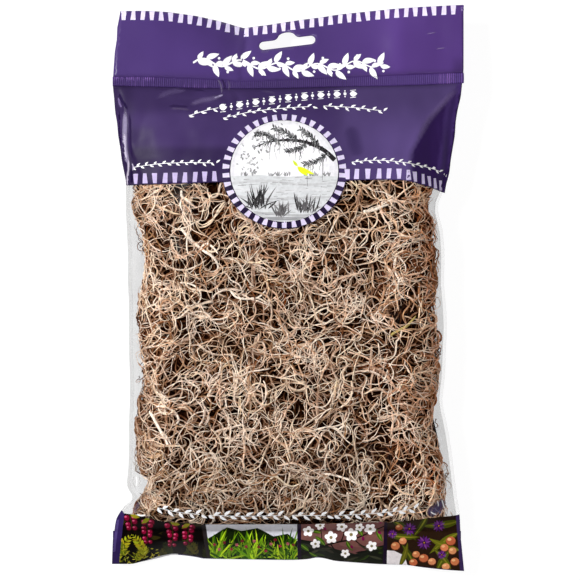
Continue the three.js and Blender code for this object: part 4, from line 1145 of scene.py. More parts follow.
for k, (name, shoots) in enumerate(STRANDS.items()):
    base, flat, colour = STRAND_LOOK[name]
    r = np.random.default_rng(500 + k)
    parts = []
    for j, pts in enumerate(shoots):
        c, length = catmull(pts, 34)
        row = row_of(c[:, 0], c[:, 1])
        z = front_z(c[:, 0], row) - 1.5 - 0.25 * np.sin(np.linspace(0, 5, 34) + k)
        P = np.column_stack([c, z])[None]
        t = np.linspace(0, 1, 34)
        rad = base * (0.8 if j else 1.0) * (0.30 + 0.70 * np.minimum(1, (1 - t) / 0.4) ** 0.7) * np.minimum(1, 0.6 + t / 0.08)
        rad = rad * (1 + 0.06 * np.cumsum(r.normal(0, 1, 34)) / 4)
        v = 1 + 0.10 * np.cumsum(r.normal(0, 1, 34)) / 4
        tone = (colour[None, :] * np.clip(v, 0.75, 1.15)[:, None])[None]
        parts.append(tube_mesh(f"{name}_p{j}", P, rad[None], 8, tone, np.array([flat])))
    for q, ob in enumerate(parts):
        a = np.empty(len(ob.data.loops) * 2, np.float32)
        ob.data.uv_layers["OFBake"].data.foreach_get("uv", a)
        a = a.reshape(-1, 2)
        a[:, 1] = (a[:, 1] + q) / len(parts)
        ob.data.uv_layers["OFBake"].data.foreach_set("uv", a.ravel())
    bpy.ops.object.select_all(action="DESELECT")
    for ob in parts:
        ob.select_set(True)
    bpy.context.view_layer.objects.active = parts[0]
    if len(parts) > 1:
        bpy.ops.object.join()
    ob = bpy.context.view_layer.objects.active
    ob.name = "look_" + name
    put(ob, mat_moss)
    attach(ob, "root")
    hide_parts(name)

# ------------------------------------------------------------------ printed shapes
def leaf(x, y, ang, length, width, bend=0.0, n=7):
    """Pointed leaf from its foot at (x, y)."""
    t = np.linspace(0, 1, n)
    w = width / 2 * np.sin(np.pi * t ** 0.85) ** 0.9
    cx = length * t
    cy = bend * length * t * t
    top = np.column_stack([cx, cy + w])
    low = np.column_stack([cx, cy - w])[1:-1][::-1]
    p = np.concatenate([top, low])
    c, s = math.cos(ang), math.sin(ang)
    return np.column_stack([x + c * p[:, 0] - s * p[:, 1], y + s * p[:, 0] + c * p[:, 1]])


def blob(x, y, rx, ry=None, ang=0.0, n=12, wob=0.0, r=None):
    ry = rx if ry is None else ry
    a = 2 * math.pi * np.arange(n) / n
    k = 1 + (wob * r.uniform(-1, 1, n) if r is not None else 0)
    px, py = rx * k * np.cos(a), ry * k * np.sin(a)
    c, s = math.cos(ang), math.sin(ang)
    return np.column_stack([x + c * px - s * py, y + s * px + c * py])


def stroke(pts, w0, w1=None, n=14):
    """Tapered pen stroke along points."""
    w1 = w0 if w1 is None else w1
    p, _ = catmull(pts, n) if len(pts) > 2 else (np.linspace(pts[0], pts[1], max(2, n // 3)), 0)
    p = np.asarray(p, float)
    d = np.gradient(p, axis=0)
    d /= np.maximum(1e-9, np.hypot(d[:, 0], d[:, 1]))[:, None]
    nrm = np.column_stack([-d[:, 1], d[:, 0]])
    w = np.linspace(w0, w1, len(p))[:, None] / 2
    return np.concatenate([p + nrm * w, (p - nrm * w)[::-1]])


def clip_to(poly, box):
    """Cuts a shape to a convex window (counter-clockwise)."""
    out = [tuple(p) for p in poly]
    for a, b in zip(box, np.roll(box, -1, axis=0)):
        if not out:
            break
        new = []
        def side(p):
            return (b[0] - a[0]) * (p[1] - a[1]) - (b[1] - a[1]) * (p[0] - a[0])
        for i, p in enumerate(out):
            q = out[i - 1]
            sp, sq = side(p), side(q)
            if (sp >= 0) != (sq >= 0):
                t = sq / (sq - sp)
                new.append((q[0] + t * (p[0] - q[0]), q[1] + t * (p[1] - q[1])))
            if sp >= 0:
                new.append(p)
        out = new
    return np.array(out) if len(out) > 2 else None


def prints(name, shapes, surface, offset, spacing=1.8, step=1.2, lines=()):
    """Many printed shapes as one layer without overlaps: where shapes overlap, the one painted last is kept.
    shapes: [(outline, colour)]; lines: plan lines that the triangles keep to, such as folds."""
    polys, verts, edges = [], [], []
    for poly, colour in shapes:
        if poly is None:
            continue
        poly = np.asarray(poly, float)
        if abs(poly_area(poly)) < 0.02:
            continue
        ring = dense(poly, step)
        base = len(verts)
        verts += [Vector(p) for p in ring]
        edges += [(base + i, base + (i + 1) % len(ring)) for i in range(len(ring))]
        polys.append((poly, tuple(colour)))
    for a, b in lines:
        n = max(1, int(math.hypot(b[0] - a[0], b[1] - a[1]) / step))
        base = len(verts)
        verts += [Vector((a[0] + (b[0] - a[0]) * i / n, a[1] + (b[1] - a[1]) * i / n)) for i in range(n + 1)]
        edges += [(base + i, base + i + 1) for i in range(n)]
    lo = np.min([p.min(0) for p, _ in polys], axis=0)
    hi = np.max([p.max(0) for p, _ in polys], axis=0)
    for k, y in enumerate(np.arange(lo[1], hi[1], spacing * 0.87)):
        verts += [Vector((x, y)) for x in np.arange(lo[0] + spacing * (0.5 if k % 2 else 0.0), hi[0], spacing)]
    v, _, f, *_ = delaunay_2d_cdt(verts, edges, [], 0, 1e-5)
    v = np.array([(p.x, p.y) for p in v])
    f = np.array([t for t in f if len(t) == 3])
    t = v[f]
    area2 = (t[:, 1, 0] - t[:, 0, 0]) * (t[:, 2, 1] - t[:, 0, 1]) - (t[:, 1, 1] - t[:, 0, 1]) * (t[:, 2, 0] - t[:, 0, 0])
    f[area2 < 0] = f[area2 < 0][:, ::-1]
    f, c = f[np.abs(area2) > 2e-5], t.mean(1)[np.abs(area2) > 2e-5]
    top = np.full(len(f), -1)
    for i, (poly, _) in enumerate(polys):
        a, b = poly.min(0), poly.max(0)
        near = np.nonzero((c[:, 0] > a[0]) & (c[:, 0] < b[0]) & (c[:, 1] > a[1]) & (c[:, 1] < b[1]))[0]
        if len(near):
            top[near[inside(c[near], poly)]] = i
    f, top = f[top >= 0], top[top >= 0]
    used = np.unique(f)
    remap = -np.ones(len(v), int)
    remap[used] = np.arange(len(used))
    v, f = v[used], remap[f]
    ob = mesh_object(name, np.column_stack([v, surface(v[:, 0], v[:, 1]) + offset]), f)
    if len(ob.data.polygons) != len(f):
        raise RuntimeError(name + ": faces were lost")
    ink = np.ones((len(f), 3, 4))
    ink[..., :3] = np.array([c for _, c in polys])[top][:, None, :]
    att = ob.data.color_attributes.new(name="ink", type="FLOAT_COLOR", domain="CORNER")
    att.data.foreach_set("color", ink.astype(np.float32).ravel())
    plan_uv(ob)
    put(ob, mat_ink)
    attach(ob, "root")
    return ob


def toned(ob, tone):
    """Holds a tone (multiplies the ink) on the points of a piece; the tone carries painted light and shade. tone(x, y)
    in mm gives n x 3.
    """
    me = ob.data
    co = np.empty(len(me.vertices) * 3)
    me.vertices.foreach_get("co", co)
    co = co.reshape(-1, 3) / MM
    col = np.ones((len(co), 4))
    col[:, :3] = tone(co[:, 0], co[:, 1])
    att = me.color_attributes.new(name="tone", type="FLOAT_COLOR", domain="POINT")
    att.data.foreach_set("color", col.astype(np.float32).ravel())


def jitter(colour, r, amount=0.15):
    c = np.array(colour) * (1 + r.uniform(-amount, amount))
    return tuple(np.clip(c * (1 + r.uniform(-amount, amount, 3) * 0.4), 0, 1))

# ------------------------------------------------------------------ front and back film
def grid_object(name, us, rows, zf):
    """Sheet over the body: us 0..1 from the left edge to the right edge, rows nominal y."""
    V = []
    for row in rows:
        l, r = float(left_x(row)), float(right_x(row))
        x = l + (r - l) * us
        y = body_y(x, np.full_like(x, row))
        V.append(np.column_stack([x, y, zf(x, y, np.full_like(x, row))]))
    nu, nv = len(us), len(rows)
    V = np.concatenate(V)
    F = [(j * nu + i, j * nu + i + 1, (j + 1) * nu + i + 1, (j + 1) * nu + i) for j in range(nv - 1) for i in range(nu - 1)]
    return mesh_object(name, V, F)


side_dense = np.concatenate([np.linspace(0, 0.12, 12)[:-1], np.linspace(0.12, 0.88, 42)[:-1], np.linspace(0.88, 1, 12)])
rows_body = np.concatenate([np.linspace(BODY_BOTTOM + 0.2, -100, 22)[:-1], np.linspace(-100, 60, 56)[:-1], np.linspace(60, BODY_TOP - 0.2, 26)])
window = grid_object("clear_front_film", side_dense, rows_body, lambda x, y, row: top_surface(x, y) - 0.25)
thicken(window, 0.15)
plan_uv(window)
put(window, mat_clear)
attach(window, "root")
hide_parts("front_film")


def back_film_z(x, y, row):
    z = back_z(x, row) - 0.35
    flat = smooth(2.0, 8.0, back_z(x, row))
    return np.maximum(0.12, z + flat * (0.25 * waves(x, y, 31, 18)))


back = grid_object("clear_back_film", side_dense[::2], rows_body[::2], back_film_z)
thicken(back, 0.12)
plan_uv(back)
put(back, mat_margin)
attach(back, "root")
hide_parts("back_film")

# purple label printed on the back panel, between clear margins
lab_rows = rows_body[::2]
V = []
lu = np.linspace(0, 1, 36)
for row in lab_rows:
    right = 79.0 + 6.5 * float(1 - smooth(-95, -55, np.array(row)))
    x = -77.0 + (right + 77.0) * lu
    y = body_y(x, np.full_like(x, row))
    V.append(np.column_stack([x, y, back_film_z(x, y, np.full_like(x, row)) - 0.12 - 0.06]))
nu, nv = len(lu), len(lab_rows)
F = [(j * nu + i, (j + 1) * nu + i, (j + 1) * nu + i + 1, j * nu + i + 1) for j in range(nv - 1) for i in range(nu - 1)]
label = mesh_object("back_label_print", np.concatenate(V), F)
first = len(label.data.vertices)
thicken(label, 0.05, offset=1.0)
plan_uv(label)
co = np.empty(len(label.data.vertices) * 3)
label.data.vertices.foreach_get("co", co)
co = co.reshape(-1, 3) / MM
seen = smooth(62, 74, co[:, 0]) * smooth(-96, -108, co[:, 1])  # painted shade: the film's inner side is darkened, as it lies in the deep shade of the filling
inner = co[:first, 2] > co[first:, 2]
seen[~np.concatenate([inner, ~inner])] = 1.0
col = np.ones((len(co), 4))
col[:, :3] = np.array([0.12, 0.06, 0.01]) + (np.ones(3) - np.array([0.12, 0.06, 0.01])) * seen[:, None]
label.data.color_attributes.new(name="tone", type="FLOAT_COLOR", domain="POINT").data.foreach_set("color", col.astype(np.float32).ravel())
put(label, mat_label)
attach(label, "root")

# ------------------------------------------------------------------ side welds
for side in ("left", "right"):
    rows = np.linspace(BODY_BOTTOM + 0.2, BODY_TOP - 0.2, 150)
    V = []
    for row in rows:
        e = float(left_x(row)) if side == "left" else float(right_x(row))
        s = 1 if side == "left" else -1
        xs = np.array([e, e + s * 0.7, e + s * 1.4, e + s * 2.2])
        if side == "right":
            xs = xs[::-1]
        y = body_y(xs, np.full(4, row))
        z = np.full(4, float(weld_z(row)) + 0.3) + np.array([0, 0.12, -0.05, 0.1]) + 0.15 * np.sin(row * 0.9)
        V.append(np.column_stack([xs, y, z]))
    F = [(j * 4 + i, j * 4 + i + 1, (j + 1) * 4 + i + 1, (j + 1) * 4 + i) for j in range(len(rows) - 1) for i in range(3)]
    w = mesh_object(f"{side}_weld_strip", np.concatenate(V), F)
    thicken(w, 0.5)
    plan_uv(w)
    put(w, mat_weld)
    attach(w, "root")
    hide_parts(f"{side}_side_weld")

# ------------------------------------------------------------------ printed band with the medallion
BAND_LOW = [(-89.6, 57.7), (-85, 57.9), (-58.7, 58.3), (-39, 59.0), (32, 60.0), (54, 60.5), (63.8, 60.3), (68, 59.6), (73.7, 58.1), (80, 56.4), (85.7, 54.4), (88.5, 53.4)]
CX, CY = -1.9, 65.3
RX, RY = 34.6, 32.1


def band_low(x):
    return np.interp(x, [p[0] for p in BAND_LOW], [p[1] for p in BAND_LOW])


rows = np.linspace(58, BODY_TOP - 0.1, 60)
left_side = [(float(left_x(r)) + 0.15, float(body_y(np.array(left_x(r)), np.array(r)))) for r in rows]
right_side = [(float(right_x(r)) - 0.15, float(body_y(np.array(right_x(r)), np.array(r)))) for r in rows[::-1]]
top_line = [(x, float(seal_low(x)) - 0.05) for x in np.linspace(-97.6, 97.4, 60)[1:-1]]
# the ring of the medallion hangs below the band
ring_pts = []
for a in np.linspace(-math.pi, 0, 90):
    x, y = CX + RX * math.cos(a), CY + RY * math.sin(a)
    if y < band_low(x):
        ring_pts.append((x, y))
low_line = [(x, float(band_low(x))) for x in np.linspace(88.0, ring_pts[-1][0] + 0.6, 30)]
low_line += ring_pts[::-1]
low_line += [(x, float(band_low(x))) for x in np.linspace(ring_pts[0][0] - 0.6, -89.4, 30)]
outline = left_side + top_line + right_side[:-1] + low_line[:-1]
band = sheet_on("purple_band", [outline], 1.5, top_surface, 0.02, step=1.2)
thicken(band, 0.08)
plan_uv(band)


def band_tone(x, y):
    """Painted light and shade on the band's ink: lighter over the right half, a painted sheen right of the medallion
    and along the fold at the right, painted shade on the facet beyond that fold with a lighter painted highlight strip
    by the bag's edge; darker patches at the left, darker along the ring's edge and just under the seal.
    """
    row = row_of(x, y)
    left, right = x - left_x(row), right_x(row) - x
    fold = right - facet_r(row) + 0.4  # how far left of the sharp fold at the right
    half = smooth(20, 34, x)
    f = 1 + half * (0.14 + 0.10 * smooth(108, 94, y) + 0.62 * smooth(106, 80, y) * np.exp(-((x - 62) / 19) ** 2) + 0.30 * np.exp(-(fold / 4.5) ** 2))
    f *= 1 - 0.02 * np.exp(-((x - 38) / 4) ** 2) * smooth(66, 76, y) * (1 - smooth(88, 98, y))
    dim = (1 - 0.06 * smooth(-64, -50, x)) * (1 - 0.26 * smooth(94, 102, y) * smooth(-48, -56, x)) * (1 - 0.12 * smooth(94, 102, y) * smooth(-56, -48, x))
    dim = dim * (1 - 0.36 * smooth(81, 76, y)) * (1 - 0.26 * smooth(-71, -79, x) * smooth(93, 86, y)) * (1 + 0.07 * smooth(-52, -44, x) * smooth(90, 84, y) * smooth(76, 80, y)) * (1 - 0.22 * smooth(-84, -90, x) * smooth(84, 90, y))
    f *= dim * (1 - half) + half
    beyond = smooth(1.0, -0.6, fold)
    strip = smooth(8.2, 6.4, right) * smooth(0.4, 1.2, right) * (0.55 + 0.45 * smooth(4.6, 5.6, right)) * smooth(62, 68, y)
    ring = smooth(band_low(x) + 0.8, band_low(x) - 0.6, y) * (np.abs(x - CX) < RX + 1)
    f *= 1 - 0.45 * ring
    f *= 1 - 0.22 * smooth(3.0, 0.2, seal_low(x) - y)
    out = f[:, None] * np.ones(3)
    out[:, 1] *= 1 + 0.09 * half
    out[:, 2] *= 1 - 0.05 * half
    shade = np.array([0.62, 0.42, 0.78]) + strip[:, None] * np.array([0.56, 0.60, 0.58])
    return out * (1 - beyond[:, None]) + shade * beyond[:, None]


toned(band, band_tone)
put(band, mat_band)
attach(band, "root")

# ------------------------------------------------------------------ header, its hang slot and its ticks
def slot_outline(grow_by=0.0):
    arm, reach = 2.5 + grow_by, 15.85 - 2.5
    pts = []
    for a in np.linspace(-90, 90, 12):
        pts.append((reach + arm * math.cos(math.radians(a)), arm * math.sin(math.radians(a))))
    def quad(a, b, c, n=6):
        return [tuple((1 - t) ** 2 * np.array(a) + 2 * t * (1 - t) * np.array(b) + t * t * np.array(c)) for t in np.linspace(0, 1, n)[1:]]
    h = 6.2 + grow_by
    pts.append((7.4, arm))
    pts += quad((7.4, arm), (5.4, arm + 0.2), (4.4, arm + 2.2))
    pts += quad((4.4, arm + 2.2), (2.9, h), (0, h), 8)
    pts += quad((0, h), (-2.9, h), (-4.4, arm + 2.2), 8)
    pts += quad((-4.4, arm + 2.2), (-5.4, arm + 0.2), (-7.4, arm))
    for a in np.linspace(90, 270, 12):
        pts.append((-reach + arm * math.cos(math.radians(a)), arm * math.sin(math.radians(a))))
    c, s = math.cos(math.radians(6.8)), math.sin(math.radians(6.8))
    return [(-0.3 + c * x - s * y, 138.3 + s * x + c * y) for x, y in pts]


def header_outline():
    pts = [(x, float(seal_up(x)) + 0.05) for x in np.linspace(-97.7, 98.2, 80)]
    for t in np.linspace(0, 1, 16)[1:]:
        pts.append((98.3 + 0.2 * t, 120.6 + (159.0 - 120.6) * t))
    pts += [(x, float(header_y(x))) for x in np.linspace(98.4, -93.9, 110)[1:]]
    edge = [(-94.0, 155.9), (-95.6, 146.4), (-95.8, 139.5), (-96.8, 132.6), (-97.2, 125.8), (-97.6, 119.2)]
    pts += edge[1:]
    return pts


header = sheet_on("purple_header", [header_outline(), slot_outline()], 1.9, top_surface, 0.0, step=1.2)
thicken(header, 0.35)
plan_uv(header)


# painted light and shade on the header's ink: a painted sheen near x 61, painted shade beside the valley crease with a
# painted highlight next to it, darker near the seal and at the lower right end; a slow random tone, and redder and
# bluer towards the right
def header_tone(x, y):
    f = 1 + 0.10 * np.exp(-((x - 61) / 4.5) ** 2)
    f *= 1 + 0.05 * waves(x, y, 51, 60, 6)
    valley = -24.5 - 3.5 * smooth(148, 118, y)
    f *= 1 - 0.16 * np.exp(-((x - valley - 1.2) / 1.3) ** 2) + 0.10 * np.exp(-((x - valley + 2.2) / 1.8) ** 2)
    f *= 1 - 0.18 * smooth(3.0, 0.3, y - seal_up(x))
    out = f[:, None] * np.ones(3)
    out[:, 0] *= 1 + 0.13 * smooth(0, 80, x)
    out[:, 1] *= 1 - 0.02 * smooth(20, 90, x)
    out[:, 2] *= 1 + 0.10 * smooth(0, 80, x)
    out *= (1 - 0.30 * smooth(90, 95, x) * smooth(132, 124, y) - 0.10 * smooth(124, 119.5, y) * smooth(-80, -60, x))[:, None]
    return out


toned(header, header_tone)
put(header, mat_header)
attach(header, "root")
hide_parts("header_tab")


# ------------------------------------------------------------------ crimp seals
def crimp(name, y_low, y_up, x0, x1, z0, pitch=0.9, amp=0.16, lift=0.45, sway=0.1):
    xs = np.arange(x0, x1 + 1e-6, pitch / 4)
    vs = np.array([0, 0.12, 0.5, 0.88, 1.0])
    V, nu = [], len(xs)
    wav = np.sign(np.sin(2 * math.pi * xs / pitch)) * np.abs(np.sin(2 * math.pi * xs / pitch)) ** 0.6
    for v in vs:
        lo, hi = y_low(xs), y_up(xs)
        a = amp * (0.15 if v in (0.0, 1.0) else 1.0)
        V.append(np.column_stack([xs, lo + (hi - lo) * v, z0 + lift + a * wav + sway * waves(xs, lo, 9, 30)]))
    F = [(j * nu + i, j * nu + i + 1, (j + 1) * nu + i + 1, (j + 1) * nu + i) for j in range(len(vs) - 1) for i in range(nu - 1)]
    ob = mesh_object(name, np.concatenate(V), F)
    thicken(ob, 0.6)
    plan_uv(ob)
    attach(ob, "root")
    return ob


seal = crimp("ribbed_top_seal", lambda x: seal_low(x) - 0.05, lambda x: seal_up(x) + 0.05, -97.9, 98.2, SEAL_Z_TOP, pitch=1.14)


def seal_tone(x, y):
    """Ribs of the heat seal with painted light: pressed lines darker as painted shade, ridges lighter as painted
    highlight, painted bright streaks near both ends, and lighter towards the right.
    """
    wav = np.sin(2 * math.pi * (x + 97.9) / 1.14 + 0.6)
    r = np.random.default_rng(63)
    rib = np.clip(((x + 99.04) / 1.14).astype(int), 0, 229)
    each = r.uniform(0.4, 1.6, 230)[rib]
    up = (y - seal_low(x)) / (seal_up(x) - seal_low(x))
    far = smooth(-44, -60, x)
    near = smooth(72, 88, x)
    f = (1 + 0.34 * smooth(20, 80, x)) * (1 + (0.20 + 0.18 * (far + near)) * wav * each)
    dots = (r.uniform(size=230) < 0.6)[rib] * (wav > 0) * smooth(0.70, 0.85, up) * smooth(-70, -78, x)
    ridge = (r.uniform(size=230) < 0.45)[rib] * (wav > 0)
    low_row = ridge * smooth(0.55, 0.40, up) * smooth(-62, -56, x) * smooth(-42, -47, x)
    full = ridge * np.maximum(0.55 * smooth(-70, -76, x), 1.1 * near)
    lit = 1.5 * dots + 1.0 * low_row + full
    out = (f + lit)[:, None] * np.ones(3)
    out[:, :2] *= (1 + 0.28 * np.minimum(1, lit))[:, None]
    return out


toned(seal, seal_tone)
put(seal, mat_seal)
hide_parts("top_crimp_seal")
low_seal = crimp("ribbed_bottom_seal", lambda x: np.full_like(x, SEAL_LOW - 0.05), lambda x: np.full_like(x, BODY_BOTTOM + 0.05), -98.1, 97.2, SEAL_Z_BOTTOM, pitch=1.8, amp=0.06, lift=0.36, sway=0.02)
put(low_seal, mat_ink)
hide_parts("bottom_crimp_seal")
skirt_out = [(x, float(skirt_y(x))) for x in np.linspace(-99.3, 99.3, 120)]
skirt_out += [(99.3 - 2.0 * t, -159.0 + (SEAL_LOW + 159.0) * t) for t in np.linspace(0, 1, 10)[1:]]
skirt_out += [(x, SEAL_LOW + 0.02) for x in np.linspace(97.3, -98.2, 60)[1:]]
skirt_out += [(-98.2 - 1.1 * t, SEAL_LOW + (-155.5 - SEAL_LOW) * t) for t in np.linspace(0, 1, 10)[1:-1]]
skirt = sheet_on("bottom_skirt_film", [skirt_out], 2.0, top_surface, 0.0, step=1.5)
thicken(skirt, 0.35)
plan_uv(skirt)
put(skirt, mat_ink)
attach(skirt, "root")
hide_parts("bottom_skirt")
for ob, c in ((low_seal, srgb(56, 42, 92)), (skirt, srgb(56, 42, 92))):
    att = ob.data.color_attributes.new(name="ink", type="FLOAT_COLOR", domain="POINT")
    att.data.foreach_set("color", np.tile(np.array([*c, 1.0], np.float32), len(ob.data.vertices)))

WHITE = srgb(250, 249, 252)

# ------------------------------------------------------------------ border ticks
def tick(x, y, foot, head, h, lean=0.0, angle=0.0):
    """A hand-cut tick on (x, y): foot and head widths, the head shifted by lean."""
    c, s = math.cos(angle), math.sin(angle)
    p = [(-foot / 2, 0), (foot / 2, 0), (head / 2 + lean, h), (-head / 2 + lean, h)]
    return [(x + c * a - s * b, y + s * a + c * b) for a, b in p]


ticks = []
rt = np.random.default_rng(41)
CUTS = [(2.2, 3.0, 0.1), (2.9, 2.0, 0.3), (2.3, 2.5, 0.5), (1.9, 3.0, 0.0), (2.9, 1.9, -0.2), (2.1, 2.9, -0.3), (2.8, 2.3, 0.4)]
for k in range(37):
    x = -92.1 + 5.28 * k
    if x > 97.2:
        break
    slope = math.atan2(float(header_y(x + 1)) - float(header_y(x - 1)), 2)
    foot, head, lean = CUTS[k % 7]
    ticks.append((tick(x, float(header_y(x)) - 5.2, foot, head, 5.1, lean, slope * 0.35), LILAC))
for k in range(9):
    x = -84.9 + 5.55 * k
    foot, head, lean = CUTS[(k + 3) % 7]
    ticks.append((tick(x, float(band_low(x)) + 0.6, foot, head, 5.6, lean), LILAC_LEFT))
for k, x in enumerate((33.2, 38.0, 44.3, 50.5, 55.8, 61.7, 67.1, 71.0, 75.5, 79.4, 82.6, 85.8)):
    foot, head, lean = CUTS[(k + 5) % 7]
    squeeze = 1 - 0.35 * smooth(66, 76, np.array(x))
    ticks.append((tick(x, float(band_low(x)) + 0.6, foot * squeeze, head * squeeze, 5.6, lean - 0.8 * float(smooth(66, 80, np.array(x)))), LILAC_RIGHT))
for k in range(38):
    a = 2 * math.pi * (k + 0.5) / 38
    def at(rr, off):
        aa = a + off / rr
        return (CX + rr * math.cos(aa), CY + rr * (RY / RX) * math.sin(aa))
    w0, w1 = ((1.0, 1.6), (1.35, 1.25), (1.0, 1.45))[k % 3]
    ticks.append(([at(30.5, -w0), at(30.5, w0), at(34.3, w1), at(34.3, -w1)], LILAC_RING))
tick_ob = prints("lilac_ticks", ticks, top_surface, 0.12, spacing=2.5, step=1.2)

# ------------------------------------------------------------------ plain panel on the back label
def back_surface(x, y):
    return back_film_z(x, y, row_of(x, y))


def rounded(x0, y0, x1, y1, c, n=6):
    pts = []
    for cx, cy, a0 in ((x1 - c, y1 - c, 0), (x0 + c, y1 - c, 90), (x0 + c, y0 + c, 180), (x1 - c, y0 + c, 270)):
        pts += [(cx + c * math.cos(math.radians(a0 + 90 * k / n)), cy + c * math.sin(math.radians(a0 + 90 * k / n))) for k in range(n + 1)]
    return pts


rear = [(rounded(-58, -74, 60, 62, 7), LILAC), (rounded(-56.6, -72.6, 58.6, 60.6, 6), srgb(88, 66, 130)), (rounded(-55.6, -71.6, 57.6, 59.6, 5.4), srgb(236, 231, 242))]
for k in range(22):
    foot, head, lean = CUTS[k % 7]
    rear.append((tick(-57.8 + 5.6 * k, 68.0, foot, head, 5.0, lean), LILAC))
    rear.append((tick(-57.8 + 5.6 * k, -85.0, head, foot, 5.0, lean), LILAC))
for sx in (-1, 1):
    for k in range(9):
        t = k / 8
        x, y = 1 + sx * (3 + 40 * t), -8 + 9 * math.sin(2.6 * t)
        for up in (-1, 1):
            rear.append((leaf(x, y, (0.3 if sx > 0 else math.pi - 0.3) + up * 0.8, 6.2 - 2.2 * t, 2.4 - 0.8 * t, bend=-0.2 * up), srgb(112, 92, 152)))
    rear.append((stroke([(1 + sx * (1 + 42 * t), -8 + 9 * math.sin(2.6 * t)) for t in np.linspace(0, 1, 9)], 0.9, 0.4, n=16), srgb(98, 78, 140)))
rear.append((blob(1, -8, 3.0, n=14), srgb(98, 78, 140)))
rear.append((blob(1, -8, 1.6, n=10), srgb(236, 231, 242)))
rear_ob = prints("back_panel_print", rear, back_surface, -0.30, spacing=5.0, step=2.6)
rear_ob.data.flip_normals()

# ------------------------------------------------------------------ white ornament in place of the lettering
white = []
ro = np.random.default_rng(77)


def garland(x0, x1, y_mid, amp, waves_n, leaf_len, leaf_w, stem, pairs, drop=lambda t: 0.0):
    """Leafy vine: a wavy stem with leaves on both sides and small berries between."""
    n = waves_n * 8 + 1
    t = np.linspace(0, 1, n)
    xs = x0 + (x1 - x0) * t
    ys = np.array([y_mid + drop(q) for q in t]) + amp * np.sin(2 * math.pi * waves_n * t)
    white.append((stroke(list(zip(xs, ys)), stem, stem * 0.6, n=n * 2), WHITE))
    for k in range(pairs):
        q = (k + 0.5) / pairs
        x = x0 + (x1 - x0) * q
        y = y_mid + drop(q) + amp * math.sin(2 * math.pi * waves_n * q)
        slope = math.atan2(amp * 2 * math.pi * waves_n * math.cos(2 * math.pi * waves_n * q), x1 - x0)
        up = 1 if k % 2 else -1
        white.append((leaf(x, y, slope + up * 0.95, leaf_len, leaf_w, bend=-up * 0.22), WHITE))
        white.append((leaf(x + 0.6, y, slope - up * 0.85, leaf_len * 0.72, leaf_w * 0.8, bend=up * 0.22), WHITE))
        bx, by = x + (x1 - x0) / pairs * 0.5, y - up * leaf_len * 0.42
        white.append((blob(bx, by, leaf_w * 0.22), WHITE))


garland(-53, 53.5, 125.6, 2.2, 5, 7.8, 3.4, 1.1, 22, drop=lambda t: 1.5 * math.cos(2 * math.pi * (t - 0.1)) - 0.3)
for k in range(17):  # row of small leaves and dots
    t = k / 16
    x = -36 + 72.5 * t
    y = 101.0 + 8.2 * (1 - (1 - t) ** 1.7) - 0.4
    tilt = 0.18 * (1 - t)
    if k % 2 == 0:
        white.append((leaf(x - 1.9, y, tilt, 4.2, 3.3), WHITE))
        white.append((stroke([(x - 1.6, y + 1.9), (x + 1.6, y + 2.2)], 0.35), WHITE))
        white.append((stroke([(x - 1.6, y - 2.2), (x + 1.6, y - 1.9)], 0.35), WHITE))
    else:
        white.append((blob(x, y + 0.1, 0.85), WHITE))
        white.append((blob(x, y + 1.7, 0.4), WHITE))
        white.append((blob(x, y - 1.5, 0.4), WHITE))


def chain(points, pitch, size, ink=WHITE, seed=5):
    """Fine running twig: small alternate leaves along a thin line."""
    r = np.random.default_rng(seed)
    p, length = catmull(points, 120)
    n = int(length / pitch)
    s = np.linspace(0, 119, n).astype(int)
    d = np.gradient(p, axis=0)
    for j, i in enumerate(s):
        a = math.atan2(d[i, 1], d[i, 0])
        up = 1 if j % 2 else -1
        white.append((leaf(p[i, 0], p[i, 1], a + up * (0.9 + 0.2 * r.uniform(-1, 1)), size * r.uniform(0.8, 1.15), size * 0.42, bend=-up * 0.3, n=6), ink))
        if j % 3 == 1:
            white.append((blob(p[i, 0] + 0.5 * pitch, p[i, 1] + up * size * 0.35, size * 0.13, n=8), ink))
    white.append((stroke([tuple(q) for q in p[::6]], 0.32, n=60), ink))


chain([(-55, 96.4), (-46, 99.2), (-38, 101.0)], 2.6, 3.0, seed=11)
chain([(-36, 95.0), (-20, 98.6), (0, 100.8), (14, 101.6)], 2.6, 2.6, seed=12)
chain([(20, 101.9), (36, 101.0), (53.5, 99.0)], 2.6, 2.8, seed=13)
chain([(-86.5, 67.6), (-72, 69.4), (-56, 70.0), (-39.5, 69.7)], 2.3, 2.5, seed=14)
chain([(35.5, 70.2), (48, 71.2), (60, 70.6), (70, 69.2), (80, 67.2), (87.6, 64.6)], 2.3, 2.5, seed=15)
orn = prints("white_ornament", white, top_surface, 0.12, spacing=2.5, step=1.0)
white = []
chain([(-72.5, -122.0), (-60, -124.6), (-48, -125.8)], 2.7, 4.2, seed=21)
chain([(-44, -126.2), (-28, -126.6), (-10, -126.4), (-2, -126.2)], 2.7, 4.2, seed=22)
chain([(2.5, -126.0), (14, -126.2), (22, -126.2)], 2.7, 4.2, seed=23)
chain([(26, -126.2), (40, -125.6), (56, -124.4), (70.5, -122.6)], 2.7, 4.2, seed=24)
orn2 = prints("white_window_ornament", white, top_surface, 0.05, spacing=2.5, step=1.0)

# ------------------------------------------------------------------ medallion: a twig with hanging moss over open ground
DX, DY = 29.9, 28.3
art = []
rm = np.random.default_rng(88)
disc = blob(CX, CY, DX, DY, n=72)
sky = srgb(238, 238, 241)
art.append((blob(CX, CY - 0.1, DX + 0.45, DY + 0.45, n=72), srgb(40, 30, 52)))
for q, c in ((1.0, (218, 217, 222)), (0.93, (226, 225, 230)), (0.84, (233, 232, 237)), (0.7, (239, 238, 242))):
    art.append((blob(CX, CY + 0.5 * (1 - q) * DY, DX * q, DY * q, n=64), srgb(*c)))


def in_disc(poly, k=0.995):
    return clip_to(poly, blob(CX, CY, DX * k, DY * k, n=48))


